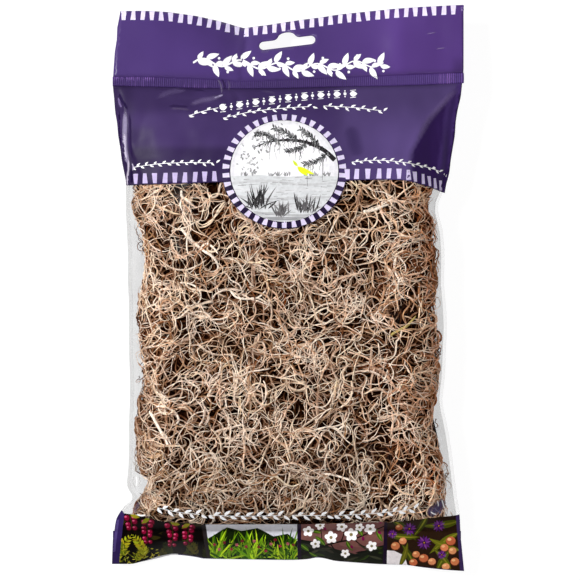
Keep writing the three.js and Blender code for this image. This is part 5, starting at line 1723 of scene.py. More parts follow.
horizon = CY - 3.5
ground = [(CX - DX, horizon + 0.5), (CX - 14, horizon + 1.2), (CX + 2, horizon + 0.2), (CX + 16, horizon + 1.0), (CX + DX, horizon + 0.2), (CX + DX, CY - DY), (CX - DX, CY - DY)]
art.append((in_disc(ground[::-1]), srgb(206, 208, 211)))
for k, (yy, c) in enumerate(((-7, 196), (-11, 210), (-15, 190), (-19, 202), (-23, 176), (-26, 150))):
    pts = [(CX - DX, CY + yy + 1.2 * math.sin(k)), (CX - 10, CY + yy + 1.4 * math.cos(k * 2.1)), (CX + 10, CY + yy - 0.8 + 1.2 * math.sin(k * 1.3)), (CX + DX, CY + yy + 0.5)]
    art.append((in_disc(stroke(pts, 2.6 if k % 2 else 1.6, 1.2, n=20)), srgb(c, c + 1, c + 4)))
for k in range(120):  # short engraved lines on the ground
    x = CX + rm.uniform(-DX, DX)
    y = horizon - rm.uniform(0, 1) ** 1.2 * 24
    c = int(rm.uniform(120, 196))
    L = rm.uniform(1.2, 5.0)
    art.append((in_disc(stroke([(x, y), (x + L, y + rm.uniform(-0.25, 0.25))], 0.32, 0.16)), srgb(c, c, c + 3)))
for k in range(26):  # far bushes on the horizon
    x = CX + rm.uniform(-27, 27)
    c = int(rm.uniform(120, 175))
    for j in range(3):
        art.append((in_disc(leaf(x, horizon + 0.4, math.pi / 2 + rm.uniform(-0.7, 0.7), rm.uniform(1.5, 3.2), 0.6)), srgb(c, c, c + 2)))
ink_d, ink_m = srgb(38, 34, 38), srgb(84, 80, 84)
# bough from the upper right, reaching over the middle
bough = [(CX + 28, CY + 6), (CX + 22, CY + 11.5), (CX + 13, CY + 15.6), (CX + 3, CY + 17.2), (CX - 8, CY + 16.2), (CX - 17, CY + 13.0)]
art.append((in_disc(stroke(bough, 2.7, 0.5, n=40)), ink_d))
side = [([(CX + 20, CY + 12.8), (CX + 15, CY + 19), (CX + 9, CY + 23.5)], 1.1), ([(CX + 8, CY + 16.8), (CX + 1, CY + 21.5), (CX - 6, CY + 24)], 0.9),
        ([(CX + 24, CY + 9.8), (CX + 18, CY + 5.5), (CX + 11, CY + 3.5)], 0.9), ([(CX - 4, CY + 16.8), (CX - 10, CY + 20.4), (CX - 16, CY + 20.6)], 0.7),
        ([(CX + 13, CY + 15.6), (CX + 7, CY + 12), (CX + 1, CY + 11.2)], 0.7)]
for pts, w in side:
    art.append((in_disc(stroke(pts, w, 0.3, n=18)), ink_d))
tips = [bough] + [p for p, _ in side]
for pts in tips:  # leaves of the bough
    p, length = catmull(pts, 60)
    for i in range(6, 60, 4):
        for up in (-1, 1):
            a = math.atan2(p[min(59, i + 1), 1] - p[i - 1, 1], p[min(59, i + 1), 0] - p[i - 1, 0])
            c = int(rm.uniform(30, 120))
            art.append((in_disc(leaf(p[i, 0], p[i, 1], a + up * rm.uniform(0.5, 1.1), rm.uniform(1.6, 3.0), rm.uniform(0.6, 1.1))), srgb(c, c, c + 2)))
for k in range(70):  # far leaves behind it
    a = rm.uniform(1.6, 3.4)
    q = rm.uniform(0.45, 0.95)
    c = int(rm.uniform(120, 200))
    art.append((in_disc(leaf(CX + DX * q * math.cos(a), CY + DY * q * math.sin(a), rm.uniform(0, 6.28), rm.uniform(1.4, 2.4), rm.uniform(0.7, 1.1), n=5)), srgb(c, c, c + 2)))
for k in range(60):  # moss hanging from the bough
    t = rm.uniform(0.05, 1)
    p, _ = catmull(tips[k % len(tips)], 40)
    i = int(t * 39)
    x, y = p[i]
    L = rm.uniform(4, 15) * (0.6 + 0.4 * math.sin(k))
    pts = [(x, y)]
    for j in range(4):
        pts.append((x + rm.uniform(-0.8, 0.8), y - L * (j + 1) / 4))
    c = int(rm.uniform(60, 150))
    art.append((in_disc(stroke(pts, rm.uniform(0.3, 0.6), 0.14, n=12)), srgb(c, c, c + 2)))
for x, y, s, c0 in ((CX - 15, CY - 21, 1.0, 30), (CX + 12, CY - 23, 0.8, 60), (CX - 2, CY - 25, 0.6, 80)):  # clumps of grass in front
    for k in range(34):
        a = math.pi / 2 + rm.normal(0, 0.42)
        c = int(np.clip(rm.normal(c0 + 25, 24), 20, 160))
        art.append((in_disc(leaf(x + rm.normal(0, 3.0 * s), y + rm.uniform(-1, 1), a, rm.uniform(6, 15) * s, rm.uniform(0.5, 1.0), bend=rm.uniform(-0.25, 0.25))), srgb(c, c - 2, c)))
for a, L in ((2.05, 10.5), (1.75, 8.0)):  # the one coloured accent: two fresh leaves
    art.append((in_disc(leaf(CX + 7.2, CY + 2.4, a - 2.6, L, 2.3, bend=0.12)), srgb(226, 244, 40)))
art.append((in_disc(leaf(CX + 7.6, CY + 2.6, 2.5, 4.4, 1.6, bend=-0.2)), srgb(206, 226, 48)))
med = prints("medallion_print", art, top_surface, 0.12, spacing=2.4, step=2.0)

# ------------------------------------------------------------------ bottom strip: four garden panels between dark bars
STRIP_TOP = [(-99, -124.9), (-91.3, -126.0), (-84.8, -126.3), (-75.0, -129.0), (-68.7, -130.1), (-48.3, -131.8), (5.3, -131.6), (29.2, -131.1), (53.3, -130.2),
             (56.0, -130.7), (69.2, -129.3), (80.3, -127.9), (85.2, -127.6), (94.2, -127.1), (99, -126.6)]
PRINT_EDGE = [(-99.4, -155.4), (-95.1, -155.4), (-87.8, -155.4), (-80.1, -153.5), (-72.4, -151.0), (-64.7, -149.7), (-57.0, -150.5), (-46.7, -152.2), (-30, -153.0),
              (5, -153.3), (7.3, -153.4), (11.5, -152.6), (16.8, -151.4), (20, -152.3), (25.9, -153.6), (53.2, -155.5), (76.8, -156.9), (93.5, -158.4), (99.4, -158.9)]


def strip_top(x):
    return np.interp(x, [p[0] for p in STRIP_TOP], [p[1] for p in STRIP_TOP])


def strip_low(x):
    return np.maximum(np.interp(x, [p[0] for p in PRINT_EDGE], [p[1] for p in PRINT_EDGE]), skirt_y(x) + 0.1)


def lean_x(edge, y):
    """x of a near-vertical line given as ((x_top, y_top), (x_low, y_low))."""
    (xa, ya), (xb, yb) = edge
    return xa + (xb - xa) * (y - ya) / (yb - ya)


def panel(edge_l, edge_r, n=26):
    """Counter-clockwise outline between two leaning lines."""
    xl, xr = edge_l[1][0], edge_r[1][0]
    low = [(x, float(strip_low(x))) for x in np.linspace(xl, xr, n)]
    top = [(x, float(strip_top(x))) for x in np.linspace(edge_r[0][0], edge_l[0][0], n)]
    return low + top


BAR_L = ((-95.8, -127.0), (-99.1, -155.4)), ((-91.6, -126.2), (-95.2, -155.4))
BAR_1 = ((-48.3, -131.9), (-45.7, -152.3)), ((-45.9, -131.9), (-43.6, -152.5))
BAR_2 = ((5.2, -131.6), (5.6, -153.4)), ((7.5, -131.4), (7.6, -153.7))
BAR_3 = ((53.9, -130.0), (53.7, -155.0)), ((55.8, -130.4), (55.9, -155.3))
BAR_R = ((94.2, -127.1), (97.0, -158.3)), ((96.3, -126.7), (99.0, -158.6))
strip = []
deep = srgb(58, 42, 96)


def inside_panel(i, poly):
    """Cuts a shape to a panel: side lines, top edge and lower edge."""
    l, r = PANELS[i]
    box = np.array([(l[1][0], l[1][1] - 12), (r[1][0], r[1][1] - 12), (r[0][0], r[0][1] + 12), (l[0][0], l[0][1] + 12)], float)
    dl = (l[0][0] - l[1][0]) / (l[0][1] - l[1][1]) * 12
    dr = (r[0][0] - r[1][0]) / (r[0][1] - r[1][1]) * 12
    box[0, 0] -= dl; box[1, 0] -= dr; box[2, 0] += dr; box[3, 0] += dl
    p = clip_to(poly, box)
    if p is None:
        return None
    p = dense(p, 1.5)
    y = np.clip(p[:, 1], strip_low(p[:, 0]) + 0.05, strip_top(p[:, 0]) - 0.05)
    p = np.column_stack([p[:, 0], y])
    return p if abs(poly_area(p)) > 0.05 else None


PANELS = [(BAR_L[1], BAR_1[0]), (BAR_1[1], BAR_2[0]), (BAR_2[1], BAR_3[0]), (BAR_3[1], BAR_R[0])]
rs = np.random.default_rng(99)


INKS = [(0.58, 0.47, 0.33), (0.72, 0.74, 0.38), (0.31, 0.34, 0.22), (0.92, 0.76, 0.42)]  # how deep each panel is printed


def deep_ink(i, colour):
    k = 1.0 if min(colour) > 0.6 else 0.0
    return tuple(c * (g + (1 - g) * k) for c, g in zip(colour, INKS[i]))


def add(i, poly, colour, amount=0.12):
    strip.append((inside_panel(i, poly), jitter(deep_ink(i, colour), rs, amount)))


def frond(i, x, y, ang, length, width, n, bend, ink, rib=0.35):
    """Fern frond from its foot: a bent rib with paired leaflets."""
    px, py = [x], [y]
    for k in range(n):
        a = ang + bend * (k + 0.5) / n
        px.append(px[-1] + math.cos(a) * length / n)
        py.append(py[-1] + math.sin(a) * length / n)
    add(i, stroke(list(zip(px, py)), rib, rib * 0.4, n=10), ink, 0.1)
    for k in range(1, n + 1):
        a = ang + bend * (k - 0.5) / n
        w = width * math.sin(math.pi * (0.18 + 0.78 * k / n))
        for up in (-1, 1):
            add(i, leaf(px[k], py[k], a + up * 0.95, w, w * 0.42, bend=-up * 0.15, n=5), ink, 0.3)


# panel 0: sprigs of dark berries hanging over fern fronds
strip.append((panel(*PANELS[0]), deep_ink(0, srgb(9, 4, 4))))
for k in range(26):
    add(0, leaf(rs.uniform(-97, -46), rs.uniform(-156, -127), rs.uniform(0, 6.28), rs.uniform(5, 11), rs.uniform(1.6, 3.2)), srgb(20, 13, 6) if k % 3 else srgb(54, 50, 16), 0.4)
for k, (x, a, L, W) in enumerate(((-97, 1.3, 19, 4.6), (-91, 1.9, 13, 4.0), (-86, 1.1, 12, 3.6), (-80, 1.8, 15, 4.2), (-73, 1.2, 12, 3.4), (-66, 1.7, 10, 3.4), (-58, 1.25, 14, 3.8), (-51, 1.9, 15, 4.2), (-46.5, 1.6, 11, 3.2))):
    frond(0, x, -154.5 + 3 * (k % 2), a, L, W, 8, 0.5 if k % 2 else -0.5, srgb(*((188, 204, 44), (126, 150, 32), (160, 176, 36))[k % 3]) if x < -78 else srgb(*((60, 68, 20), (80, 84, 26), (46, 56, 16))[k % 3]))
for k in range(60):
    add(0, leaf(rs.uniform(-97, -72), rs.uniform(-156, -146), rs.uniform(0, 6.28), rs.uniform(1.6, 3.4), 0.6, n=5), srgb(*((196, 212, 52), (96, 118, 24), (222, 230, 96))[k % 3]), 0.25)
for x, n, sway in ((-88.5, 3, 1.2), (-77.5, 5, -1.4), (-66.0, 5, 1.6), (-55.0, 4, -1.0)):
    y = float(strip_top(x)) + 0.5
    drop = [(x + sway * math.sin(0.5 * q), y - 2.9 * q) for q in range(n + 1)]
    add(0, stroke(drop, 0.5, 0.3), srgb(70, 72, 30), 0.1)
    for q in range(n):
        for up in (-1, 1):
            bx, by = drop[q + 1][0] + up * (2.1 - 0.2 * q), drop[q + 1][1] + 0.9 * up * (q % 2)
            s = 2.0 - 0.16 * q
            add(0, blob(bx, by, s, s * 1.05, n=11), srgb(58, 6, 26), 0.2)
            add(0, blob(bx - 0.1, by + 0.2, s * 0.76, s * 0.8, n=10), srgb(150, 12, 74), 0.25)
            add(0, blob(bx - 0.42 * s, by + 0.40 * s, s * 0.38, s * 0.28, n=7), srgb(255, 110, 190), 0.10)
    add(0, leaf(x + 0.4, y - 0.6, -0.4 if sway > 0 else -2.7, 5.6, 2.4, bend=0.1), srgb(158, 172, 46), 0.2)

# panel 1: arching blades from three tufts, dotted with small blossoms
strip.append((panel(*PANELS[1]), srgb(196, 196, 206)))
add(1, [(-46, -158), (7, -158), (7, -143), (0, -137.5), (-8, -139), (-17, -134), (-26, -136), (-34, -133.5), (-41, -138), (-46, -141)], srgb(18, 32, 8), 0.02)
for k in range(190):
    cx = (-38.5, -20.0, -1.5)[k % 3]
    a = math.pi / 2 + rs.normal(0, 0.62)
    L = rs.uniform(8, 21) * (1 - 0.18 * abs(a - math.pi / 2))
    tone = min(3, int(rs.uniform(0, 1) * 3.0 + 1.1 * (k / 190)))
    c = ((22, 42, 8), (56, 98, 16), (112, 160, 24), (196, 234, 56))[tone]
    add(1, leaf(cx + rs.normal(0, 3.0), -156 + rs.uniform(0, 4), a, L, rs.uniform(0.8, 1.5), bend=rs.uniform(-0.35, 0.35), n=6), srgb(*c), 0.25)
for k in range(60):
    add(1, leaf(rs.uniform(-45, 6), rs.uniform(-155, -143), rs.uniform(0, 6.28), rs.uniform(1.6, 3.6), 0.8, n=5), srgb(*((18, 34, 8), (120, 160, 36), (150, 190, 46))[k % 3]), 0.25)
for k in range(15):
    x, y = -42 + 3.2 * k + rs.uniform(-1, 1), -138.5 - 8 * rs.uniform(0, 1) - 1.5 * (k % 2)
    for q in range(4):
        add(1, blob(x + 0.55 * math.cos(q * 1.57 + k), y + 0.55 * math.sin(q * 1.57 + k), 0.5, n=6), srgb(*((172, 44, 96), (208, 104, 156), (128, 20, 58))[k % 3]), 0.2)

# panel 2: a blossoming twig across a dusky ground
strip.append((panel(*PANELS[2]), deep_ink(2, srgb(174, 106, 126))))
for k in range(14):
    add(2, blob(rs.uniform(8, 54), rs.uniform(-144, -131), rs.uniform(3, 7), rs.uniform(1.5, 3), n=10), srgb(192, 122, 140), 0.10)
add(2, [(6, -158), (56, -158), (56, -143.5), (48, -145.5), (38, -149.5), (27, -146.5), (18, -142.5), (6, -140.5)], srgb(40, 42, 36), 0.02)
for k in range(46):
    c = ((52, 64, 34), (74, 92, 40), (66, 66, 62), (96, 92, 80), (22, 24, 20))[k % 5]
    add(2, leaf(rs.uniform(6, 55), rs.uniform(-157, -144.5), rs.uniform(-0.6, 0.6) + (math.pi if k % 2 else 0), rs.uniform(4, 9), rs.uniform(0.8, 1.8), n=6), srgb(*c), 0.3)
twig = [(7, -150.5), (16, -146.5), (26, -142.8), (37, -140.5), (46, -136.8), (54.5, -132.6)]
add(2, stroke(twig, 1.3, 0.6, n=18), srgb(34, 22, 22), 0.05)
for pts in ([(16, -146.5), (19, -140.5), (18.5, -134.5)], [(30, -142), (31.5, -136.5), (29.5, -132.5)], [(37, -140.5), (42, -144.5), (48.5, -146)], [(24, -143.5), (28, -148.5), (33, -150.5)]):
    add(2, stroke(pts, 0.8, 0.35, n=9), srgb(38, 26, 24), 0.05)
for x, y, a, L, W in ((12, -148, 2.3, 8, 2.6), (12, -148.5, -0.7, 7, 2.2), (21, -144.5, 2.2, 8, 2.8), (33, -141.5, -1.2, 7, 2.4), (42, -138.8, 2.0, 6.5, 2.4), (44, -145, -0.2, 7, 2.4), (50, -134.8, -1.3, 8, 2.6), (18.7, -137, 2.8, 6, 2.2)):
    add(2, leaf(x, y, a, L, W, bend=0.15), srgb(92, 142, 30), 0.2)
    add(2, leaf(x, y, a, L * 0.9, W * 0.28, bend=0.15), srgb(180, 220, 84), 0.1)
for x, y, s in ((11.5, -136.0, 2.9), (18.2, -132.4, 2.6), (24.3, -139.6, 3.3), (30.2, -133.2, 2.9), (35.6, -138.0, 3.5), (46.2, -134.6, 3.1), (40.2, -133.6, 2.4), (47.2, -144.6, 2.8), (32.4, -149.2, 2.4), (15.6, -143.4, 2.6)):
    for k in range(5):
        a = k * 2 * math.pi / 5 + x
        add(2, blob(x + 0.58 * s * math.cos(a), y + 0.58 * s * math.sin(a), s * 0.56, s * 0.44, a, n=9), srgb(252, 248, 250), 0.02)
    add(2, blob(x, y, s * 0.30, n=8), srgb(224, 206, 196), 0.04)
    add(2, blob(x, y, s * 0.14, n=6), srgb(196, 150, 70), 0.05)
for x, y in ((9.5, -131.5), (21.5, -135.6), (26.5, -131.0), (38.5, -129.8), (42.5, -141.6), (52.3, -137.8), (36.5, -146.4), (51.5, -131.4)):
    add(2, leaf(x, y, rs.uniform(0.6, 2.4), 2.9, 1.7), srgb(188, 22, 130), 0.15)

# panel 3: violet asters and rosy hips among broad leaves
strip.append((panel(*PANELS[3]), deep_ink(3, srgb(38, 25, 20))))
add(3, [(54, -158), (68, -158), (66, -150.5), (60, -147.5), (54, -147)], srgb(226, 220, 222), 0.02)
for k, (x, y, a, L, W) in enumerate(((97, -130, 3.45, 22, 4.4), (96, -137, 3.6, 20, 4.0), (57, -128, -0.55, 20, 4.2), (56, -138, -0.25, 18, 3.6), (97, -147, 2.95, 19, 3.8), (72, -158, 1.9, 17, 3.8), (84, -159, 1.2, 15, 3.6), (63, -157, 1.1, 15, 3.2), (78, -126, -1.9, 15, 3.6), (92, -158, 2.1, 16, 3.2))):
    add(3, leaf(x, y, a, L, W, bend=0.18 if k % 2 else -0.18, n=9), srgb(*((70, 84, 22), (92, 104, 30), (54, 68, 20))[k % 3]), 0.15)
    add(3, leaf(x, y, a, L * 0.94, W * 0.26, bend=0.18 if k % 2 else -0.18, n=9), srgb(118, 128, 46), 0.12)
for k, (x, y, s) in enumerate(((60.5, -144.5, 2.5), (64.6, -141.6, 2.1), (91.5, -141.5, 2.7), (88.0, -145.4, 2.3), (92.6, -147.2, 2.2), (76.5, -151.6, 2.6), (72.2, -149.4, 2.1), (81.2, -153.6, 2.2), (70.8, -154.2, 2.3), (94.0, -153.4, 2.4), (89.0, -156.5, 2.2), (62.4, -133.6, 2.0))):
    add(3, blob(x, y - 0.3, s * 1.1, s * 1.0, n=11), srgb(96, 48, 40), 0.12)
    add(3, blob(x, y, s, s * 0.92, n=11), srgb(*((198, 128, 108), (212, 150, 134), (184, 104, 88))[k % 3]), 0.1)
    add(3, blob(x - 0.3 * s, y + 0.3 * s, s * 0.45, s * 0.32, n=8), srgb(232, 192, 178), 0.08)
for x, y, s in ((68.2, -134.6, 4.1), (84.6, -132.8, 3.8), (76.6, -142.6, 4.2), (58.8, -137.6, 2.8), (86.6, -149.6, 2.8)):
    for k in range(13):
        a = k * 2 * math.pi / 13 + x
        add(3, leaf(x, y, a, s, s * 0.3, n=5), srgb(*((92, 34, 166), (64, 22, 124), (116, 62, 190))[k % 3]), 0.15)
    add(3, blob(x, y, s * 0.24, n=9), srgb(30, 14, 40), 0.1)
    add(3, blob(x, y, s * 0.12, n=6), srgb(188, 150, 60), 0.1)
for (l, r) in (BAR_1, BAR_2, BAR_3):
    strip.append((panel(l, r, 5), srgb(26, 12, 34) if l is not BAR_1[0] else srgb(36, 30, 32)))
rows = np.linspace(-124.2, -135.8, 9)
bar = [(float(left_x(q)) + 0.1, float(q)) for q in rows] + [(-98.0, -136.4), (-98.0, -141.0), (-98.2, -141.8), (-99.2, -155.4), (-95.2, -155.4), (-91.6, -126.2)]
strip.append((bar, srgb(44, 28, 80)))
# painted highlight: a lighter stripe down the middle of the left bar
strip.append(([(-94.6, -129.5), (-96.0, -129.5), (-98.6, -148), (-97.0, -148)], srgb(72, 58, 112)))
rows = np.linspace(-126.6, -135.8, 9)
bar = [(float(right_x(q)) - 0.1, float(q)) for q in rows] + [(97.0, -136.4), (97.0, -141.0), (97.3, -141.8), (99.2, -158.8), (97.0, -158.5), (94.2, -127.1)]
strip.append((bar, srgb(50, 36, 76)))
edge = [(x, float(skirt_y(x)) + 0.05) for x in np.linspace(-91, -62, 14)]
strip.insert(0, (edge + [(x, y + 4) for x, y in edge[::-1]], srgb(196, 196, 200)))
strip_ob = prints("bottom_strip_print", strip, top_surface, 0.22, spacing=2.4, step=2.0,
                  lines=[((-99.5, BODY_BOTTOM), (99.5, BODY_BOTTOM)), ((-99.5, SEAL_LOW), (99.5, SEAL_LOW))])

# ------------------------------------------------------------------ painted glints, highlights and shade on the film's creases and crinkles
def crease_glint_material(name):
    """Painted glints, highlights and shade on the film: the colour lies on the points and fades out at the edges of
    each mark.
    """
    m = Nodes(name)
    att = m.n("ShaderNodeAttribute", attribute_name="ink")
    n1 = m.n("ShaderNodeTexNoise", i_Scale=700.0, i_Detail=3.0, i_Roughness=0.6)
    m.l(coords(m), n1.inputs["Vector"])
    rr = m.n("ShaderNodeMapRange")
    rr.inputs["From Min"].default_value = 0.3
    rr.inputs["From Max"].default_value = 0.7
    rr.inputs["To Min"].default_value = 0.86
    rr.inputs["To Max"].default_value = 1.1
    m.l(n1.outputs["Fac"], rr.inputs["Value"])
    sc = m.n("ShaderNodeVectorMath", operation="SCALE")
    m.l(att.outputs["Color"], sc.inputs[0])
    m.l(rr.outputs["Result"], sc.inputs["Scale"])
    df = m.n("ShaderNodeBsdfDiffuse")
    m.l(sc.outputs["Vector"], df.inputs["Color"])
    tr = m.n("ShaderNodeBsdfTransparent")
    mix = m.n("ShaderNodeMixShader")
    m.l(att.outputs["Alpha"], mix.inputs["Fac"])
    m.l(tr.outputs["BSDF"], mix.inputs[1])
    m.l(df.outputs["BSDF"], mix.inputs[2])
    m.l(mix.outputs["Shader"], m.out.inputs["Surface"])
    return m.mat


# painted glints, highlights and shade; each mark: colour, strength, half width in mm, how square its cross-section is,
# plan points
MARKS = [
    ((150, 140, 172), 0.80, 1.70, 0.9, [(-90.8, 100.4), (-90.9, 92.0), (-91.1, 84.2), (-90.9, 77.6), (-89.8, 71.4), (-89.0, 66.4)]),
    ((212, 204, 226), 0.85, 1.20, 0.7, [(-91.2, 87.5), (-91.4, 82.0), (-91.2, 76.5), (-89.9, 71.4)]),
    ((34, 20, 62), 0.85, 0.75, 0.3, [(-95.1, 102.2), (-94.4, 97.2), (-94.0, 92.2), (-93.8, 84.4), (-93.4, 79.4)]),
    ((46, 31, 74), 0.85, 0.90, 0.3, [(-88.5, 98.7), (-88.0, 91.9), (-87.8, 84.1), (-87.5, 77.3), (-86.3, 71.8)]),
    ((40, 26, 70), 0.85, 1.00, 0.3, [(-94.4, 109.4), (-93.2, 106.0), (-91.3, 103.2), (-89.4, 99.8)]),
    ((126, 108, 156), 0.75, 0.90, 0.4, [(-94.8, 107.2), (-94.1, 103.8), (-92.8, 101.0)]),
    ((206, 196, 218), 0.80, 0.80, 0.4, [(-89.0, 73.0), (-89.1, 68.1), (-89.7, 63.1), (-89.8, 57.0)]),
    ((34, 22, 62), 0.80, 1.30, 0.4, [(-87.3, 67.4), (-87.4, 63.0), (-87.3, 58.6)]),
    ((204, 194, 222), 0.80, 0.50, 0.3, [(-86.9, 70.1), (-86.2, 67.9), (-86.7, 65.7)]),
    ((176, 164, 202), 0.75, 0.80, 0.2, [(-41.4, 106.4), (-38.9, 107.2), (-35.9, 108.4)]),
    ((112, 97, 140), 0.55, 1.80, 0.2, [(-54.5, 102.5), (-49.5, 104.5), (-43.9, 105.8), (-37.2, 107.0)]),
    ((100, 85, 130), 0.40, 2.00, 0.2, [(-73.0, 106.2), (-68.0, 109.0), (-62.4, 110.4), (-56.3, 111.0)]),
    ((96, 82, 118), 0.55, 0.90, 0.2, [(-65.6, 100.4), (-60.6, 100.4), (-54.5, 99.6)]),
    ((50, 35, 78), 0.55, 0.90, 0.2, [(-66.8, 101.8), (-61.8, 102.0), (-55.0, 101.3)]),
    ((52, 37, 80), 0.60, 0.90, 0.2, [(-62.4, 111.5), (-56.8, 111.9), (-51.3, 111.4), (-45.7, 110.4)]),
    ((122, 110, 142), 0.55, 0.70, 0.2, [(-39.3, 117.3), (-37.6, 114.4), (-36.9, 111.0), (-37.0, 108.7)]),
    ((44, 30, 72), 0.55, 0.80, 0.2, [(-37.3, 117.5), (-35.5, 114.4), (-35.3, 111.0)]),
    ((106, 92, 130), 0.50, 0.70, 0.2, [(-33.7, 116.7), (-32.6, 113.9), (-33.1, 110.4)]),
    ((98, 84, 124), 0.40, 0.80, 0.2, [(-14.4, 110.4), (-10.5, 109.9), (-6.5, 108.7)]),
    ((50, 36, 84), 0.26, 5.20, 0.0, [(33.6, 90.8), (36.4, 83.6), (39.4, 72.6)]),
    ((128, 108, 160), 0.34, 2.40, 0.0, [(96.2, 112.4), (89.6, 106.6), (83.2, 99.4), (77.6, 92.4), (71.6, 81.0)]),
    ((140, 122, 168), 0.65, 0.35, 0.2, [(77.7, 142.5), (80.2, 143.1), (83.0, 143.4)]),
    ((140, 122, 168), 0.65, 0.35, 0.2, [(83.0, 134.0), (85.2, 134.5), (88.0, 134.7)]),
    ((74, 66, 98), 0.88, 3.60, 0.8, [(85.8, -116.8), (85.3, -120.7), (82.7, -123.4), (77.1, -124.8)]),
    ((118, 110, 140), 0.70, 0.90, 0.3, [(81.5, -121.7), (83.6, -124.1), (86.2, -125.3)]),
    ((250, 250, 252), 0.95, 0.50, 0.3, [(85.9, -117.4), (86.8, -120.3), (87.7, -123.1)]),
    ((250, 250, 252), 0.95, 0.45, 0.3, [(79.6, -124.2), (81.2, -125.5), (83.1, -126.0)]),
    ((236, 236, 240), 0.75, 0.50, 0.3, [(83.1, -117.8), (83.9, -119.8), (84.0, -121.8)]),
    ((252, 252, 253), 0.95, 0.65, 0.4, [(-84.6, -126.1), (-81.9, -126.7), (-78.9, -126.3)]),
    ((92, 78, 92), 0.65, 1.50, 0.4, [(-86.2, -125.5), (-84.7, -122.1), (-83.0, -119.4)]),
    ((150, 138, 124), 0.55, 0.80, 0.2, [(-86.8, -96.6), (-85.4, -98.8), (-84.8, -100.9), (-86.0, -102.8)]),
    ((158, 150, 142), 0.50, 0.55, 0.2, [(-84.9, -97.8), (-83.6, -100.2), (-84.0, -102.6)]),
    ((176, 174, 172), 0.60, 0.50, 0.2, [(-86.2, -104.8), (-86.6, -108.2), (-85.2, -111.8)]),
    ((176, 174, 172), 0.55, 0.45, 0.2, [(-83.0, -104.6), (-82.5, -108.0), (-83.9, -111.6)]),
    ((252, 252, 252), 0.60, 0.70, 0.2, [(-84.8, -104.6), (-84.4, -107.6), (-84.6, -110.8)]),
]
V, F, INK = [], [], []
ACROSS = np.array([-1.0, -0.72, -0.4, 0.0, 0.4, 0.72, 1.0])
for k, (colour, strength, half, square, pts) in enumerate(MARKS):
    c, length = catmull(pts, max(8, int(length_of(pts) / 1.1)))
    d = np.gradient(c, axis=0)
    d /= np.hypot(d[:, 0], d[:, 1])[:, None]
    nrm = np.column_stack([-d[:, 1], d[:, 0]])
    t = np.linspace(0, 1, len(c))
    ends = np.minimum(1, np.minimum(t, 1 - t) / 0.22)
    width = half * (0.35 + 0.65 * ends ** 0.7)
    base = len(V)
    for i in range(len(c)):
        for a in ACROSS:
            x, y = c[i] + nrm[i] * a * width[i]
            V.append((x, y))
            soft = (1 - a * a) ** (1.6 - 1.2 * square)
            INK.append((*srgb(*colour), strength * (soft if abs(a) < 1 else 0) * smooth(0, 1, ends[i] * 1.4)))
    n = len(ACROSS)
    F += [(base + i * n + j, base + i * n + j + 1, base + (i + 1) * n + j + 1, base + (i + 1) * n + j) for i in range(len(c) - 1) for j in range(n - 1)]
    F[-(len(c) - 1) * (n - 1):] = [q[::-1] for q in F[-(len(c) - 1) * (n - 1):]]
V = np.array(V)
order = np.repeat(np.arange(len(MARKS)), [max(8, int(length_of(m[4]) / 1.1)) * len(ACROSS) for m in MARKS])
crease = mesh_object("film_crease_glint_and_shade_marks", np.column_stack([V, top_surface(V[:, 0], V[:, 1]) + 0.17 + 0.005 * order]), F)
att = crease.data.color_attributes.new(name="ink", type="FLOAT_COLOR", domain="POINT")
att.data.foreach_set("color", np.array(INK, np.float32).ravel())
plan_uv(crease)
put(crease, crease_glint_material("film_crease_glints_and_shade"))
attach(crease, "root")

# ------------------------------------------------------------------ stage, lights, camera
fm = Nodes("studio_floor")
fb = fm.n("ShaderNodeBsdfDiffuse")
fb.inputs["Color"].default_value = (0.16, 0.16, 0.16, 1)
fe = fm.n("ShaderNodeEmission")
fe.inputs["Color"].default_value = (1, 1, 1, 1)
fe.inputs["Strength"].default_value = 0.93
fa = fm.n("ShaderNodeAddShader")
fm.l(fb.outputs["BSDF"], fa.inputs[0])
fm.l(fe.outputs["Emission"], fa.inputs[1])
fm.l(fa.outputs["Shader"], fm.out.inputs["Surface"])
floor = mesh_object("studio_floor", [(-3000, -3000, -0.05), (3000, -3000, -0.05), (3000, 3000, -0.05), (-3000, 3000, -0.05)], [(0, 1, 2, 3)], False)
put(floor, fm.mat)

world = bpy.data.worlds.new("studio")
bpy.context.scene.world = world
world.use_nodes = True
wt = world.node_tree
wt.nodes.clear()
wo = wt.nodes.new("ShaderNodeOutputWorld")
bg = wt.nodes.new("ShaderNodeBackground")
tc = wt.nodes.new("ShaderNodeTexCoord")
sp = wt.nodes.new("ShaderNodeSeparateXYZ")
cr = wt.nodes.new("ShaderNodeValToRGB")
wt.links.new(tc.outputs["Generated"], sp.inputs[0])
wt.links.new(sp.outputs["Z"], cr.inputs["Fac"])
ramp(cr, [(0.0, (0.8, 0.8, 0.8)), (0.55, (0.42, 0.42, 0.42)), (0.8, (0.14, 0.14, 0.14)), (1.0, (0.05, 0.05, 0.05))])
side_ramp = wt.nodes.new("ShaderNodeMapRange")
side_ramp.inputs["From Min"].default_value = -0.7
side_ramp.inputs["From Max"].default_value = 0.6
side_ramp.inputs["To Min"].default_value = 1.0
side_ramp.inputs["To Max"].default_value = 0.10
wt.links.new(sp.outputs["X"], side_ramp.inputs["Value"])
side_mul = wt.nodes.new("ShaderNodeVectorMath")
side_mul.operation = "SCALE"
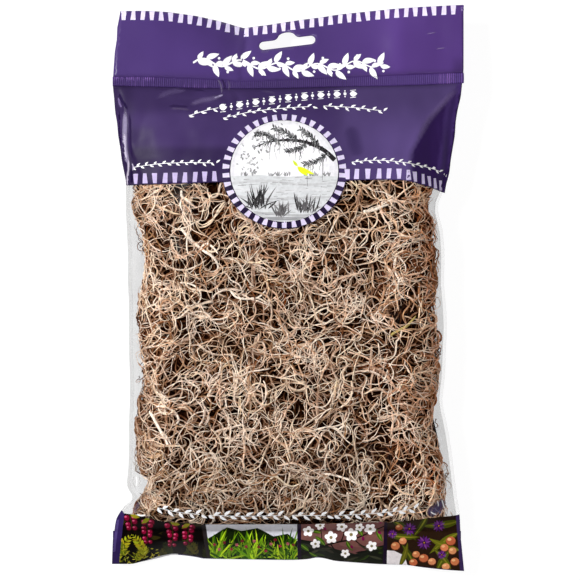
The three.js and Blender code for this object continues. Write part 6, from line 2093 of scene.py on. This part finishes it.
wt.links.new(cr.outputs["Color"], side_mul.inputs[0])
wt.links.new(side_ramp.outputs["Result"], side_mul.inputs["Scale"])
warm_mul = wt.nodes.new("ShaderNodeVectorMath")
warm_mul.operation = "MULTIPLY"
warm_mul.inputs[1].default_value = (1.05, 0.97, 0.87)
wt.links.new(side_mul.outputs["Vector"], warm_mul.inputs[0])
wt.links.new(warm_mul.outputs["Vector"], bg.inputs["Color"])
bg.inputs["Strength"].default_value = 0.34
wt.links.new(bg.outputs["Background"], wo.inputs["Surface"])


def area(name, loc, size, power, colour=(1, 1, 1)):
    li = bpy.data.lights.new(name, "AREA")
    li.shape = "RECTANGLE"
    li.size, li.size_y = size
    li.energy = power
    li.color = colour
    ob = bpy.data.objects.new(name, li)
    bpy.context.scene.collection.objects.link(ob)
    ob.location = loc
    d = Vector((0, 0, 0.02)) - Vector(loc)
    ob.rotation_euler = d.to_track_quat("-Z", "Y").to_euler()
    return ob


area("key_left", (-1.1, 0.55, 1.45), (0.40, 0.40), 40.4)
area("fill_right", (1.35, -0.35, 1.1), (0.9, 0.9), 1.5)
area("high_right", (0.92, 0.15, 1.35), (0.5, 0.5), 4.0, (1.0, 0.97, 0.92))
area("high_front", (0.5, -0.7, 1.8), (0.5, 0.5), 4.5)
area("low_front", (-0.4, -1.5, 0.9), (0.9, 0.6), 4, (1.0, 0.96, 0.90))

DIST = 2.0
PLANE = 22.0
CAM = (1.27, -0.72)
cam_data = bpy.data.cameras.new("photo_camera")
cam = bpy.data.objects.new("photo_camera", cam_data)
bpy.context.scene.collection.objects.link(cam)
cam.location = (CAM[0] * MM, CAM[1] * MM, DIST)
cam.rotation_euler = (0, 0, 0)
cam_data.sensor_fit = "HORIZONTAL"
cam_data.sensor_width = 36.0
cam_data.lens = 36.0 * (DIST * 1000 - PLANE) / (580 * 0.56)
cam_data.clip_start = 0.05
cam_data.clip_end = 20.0
bpy.context.scene.camera = cam
bpy.context.scene.view_settings.view_transform = "Standard"
bpy.context.scene.view_settings.look = "None"
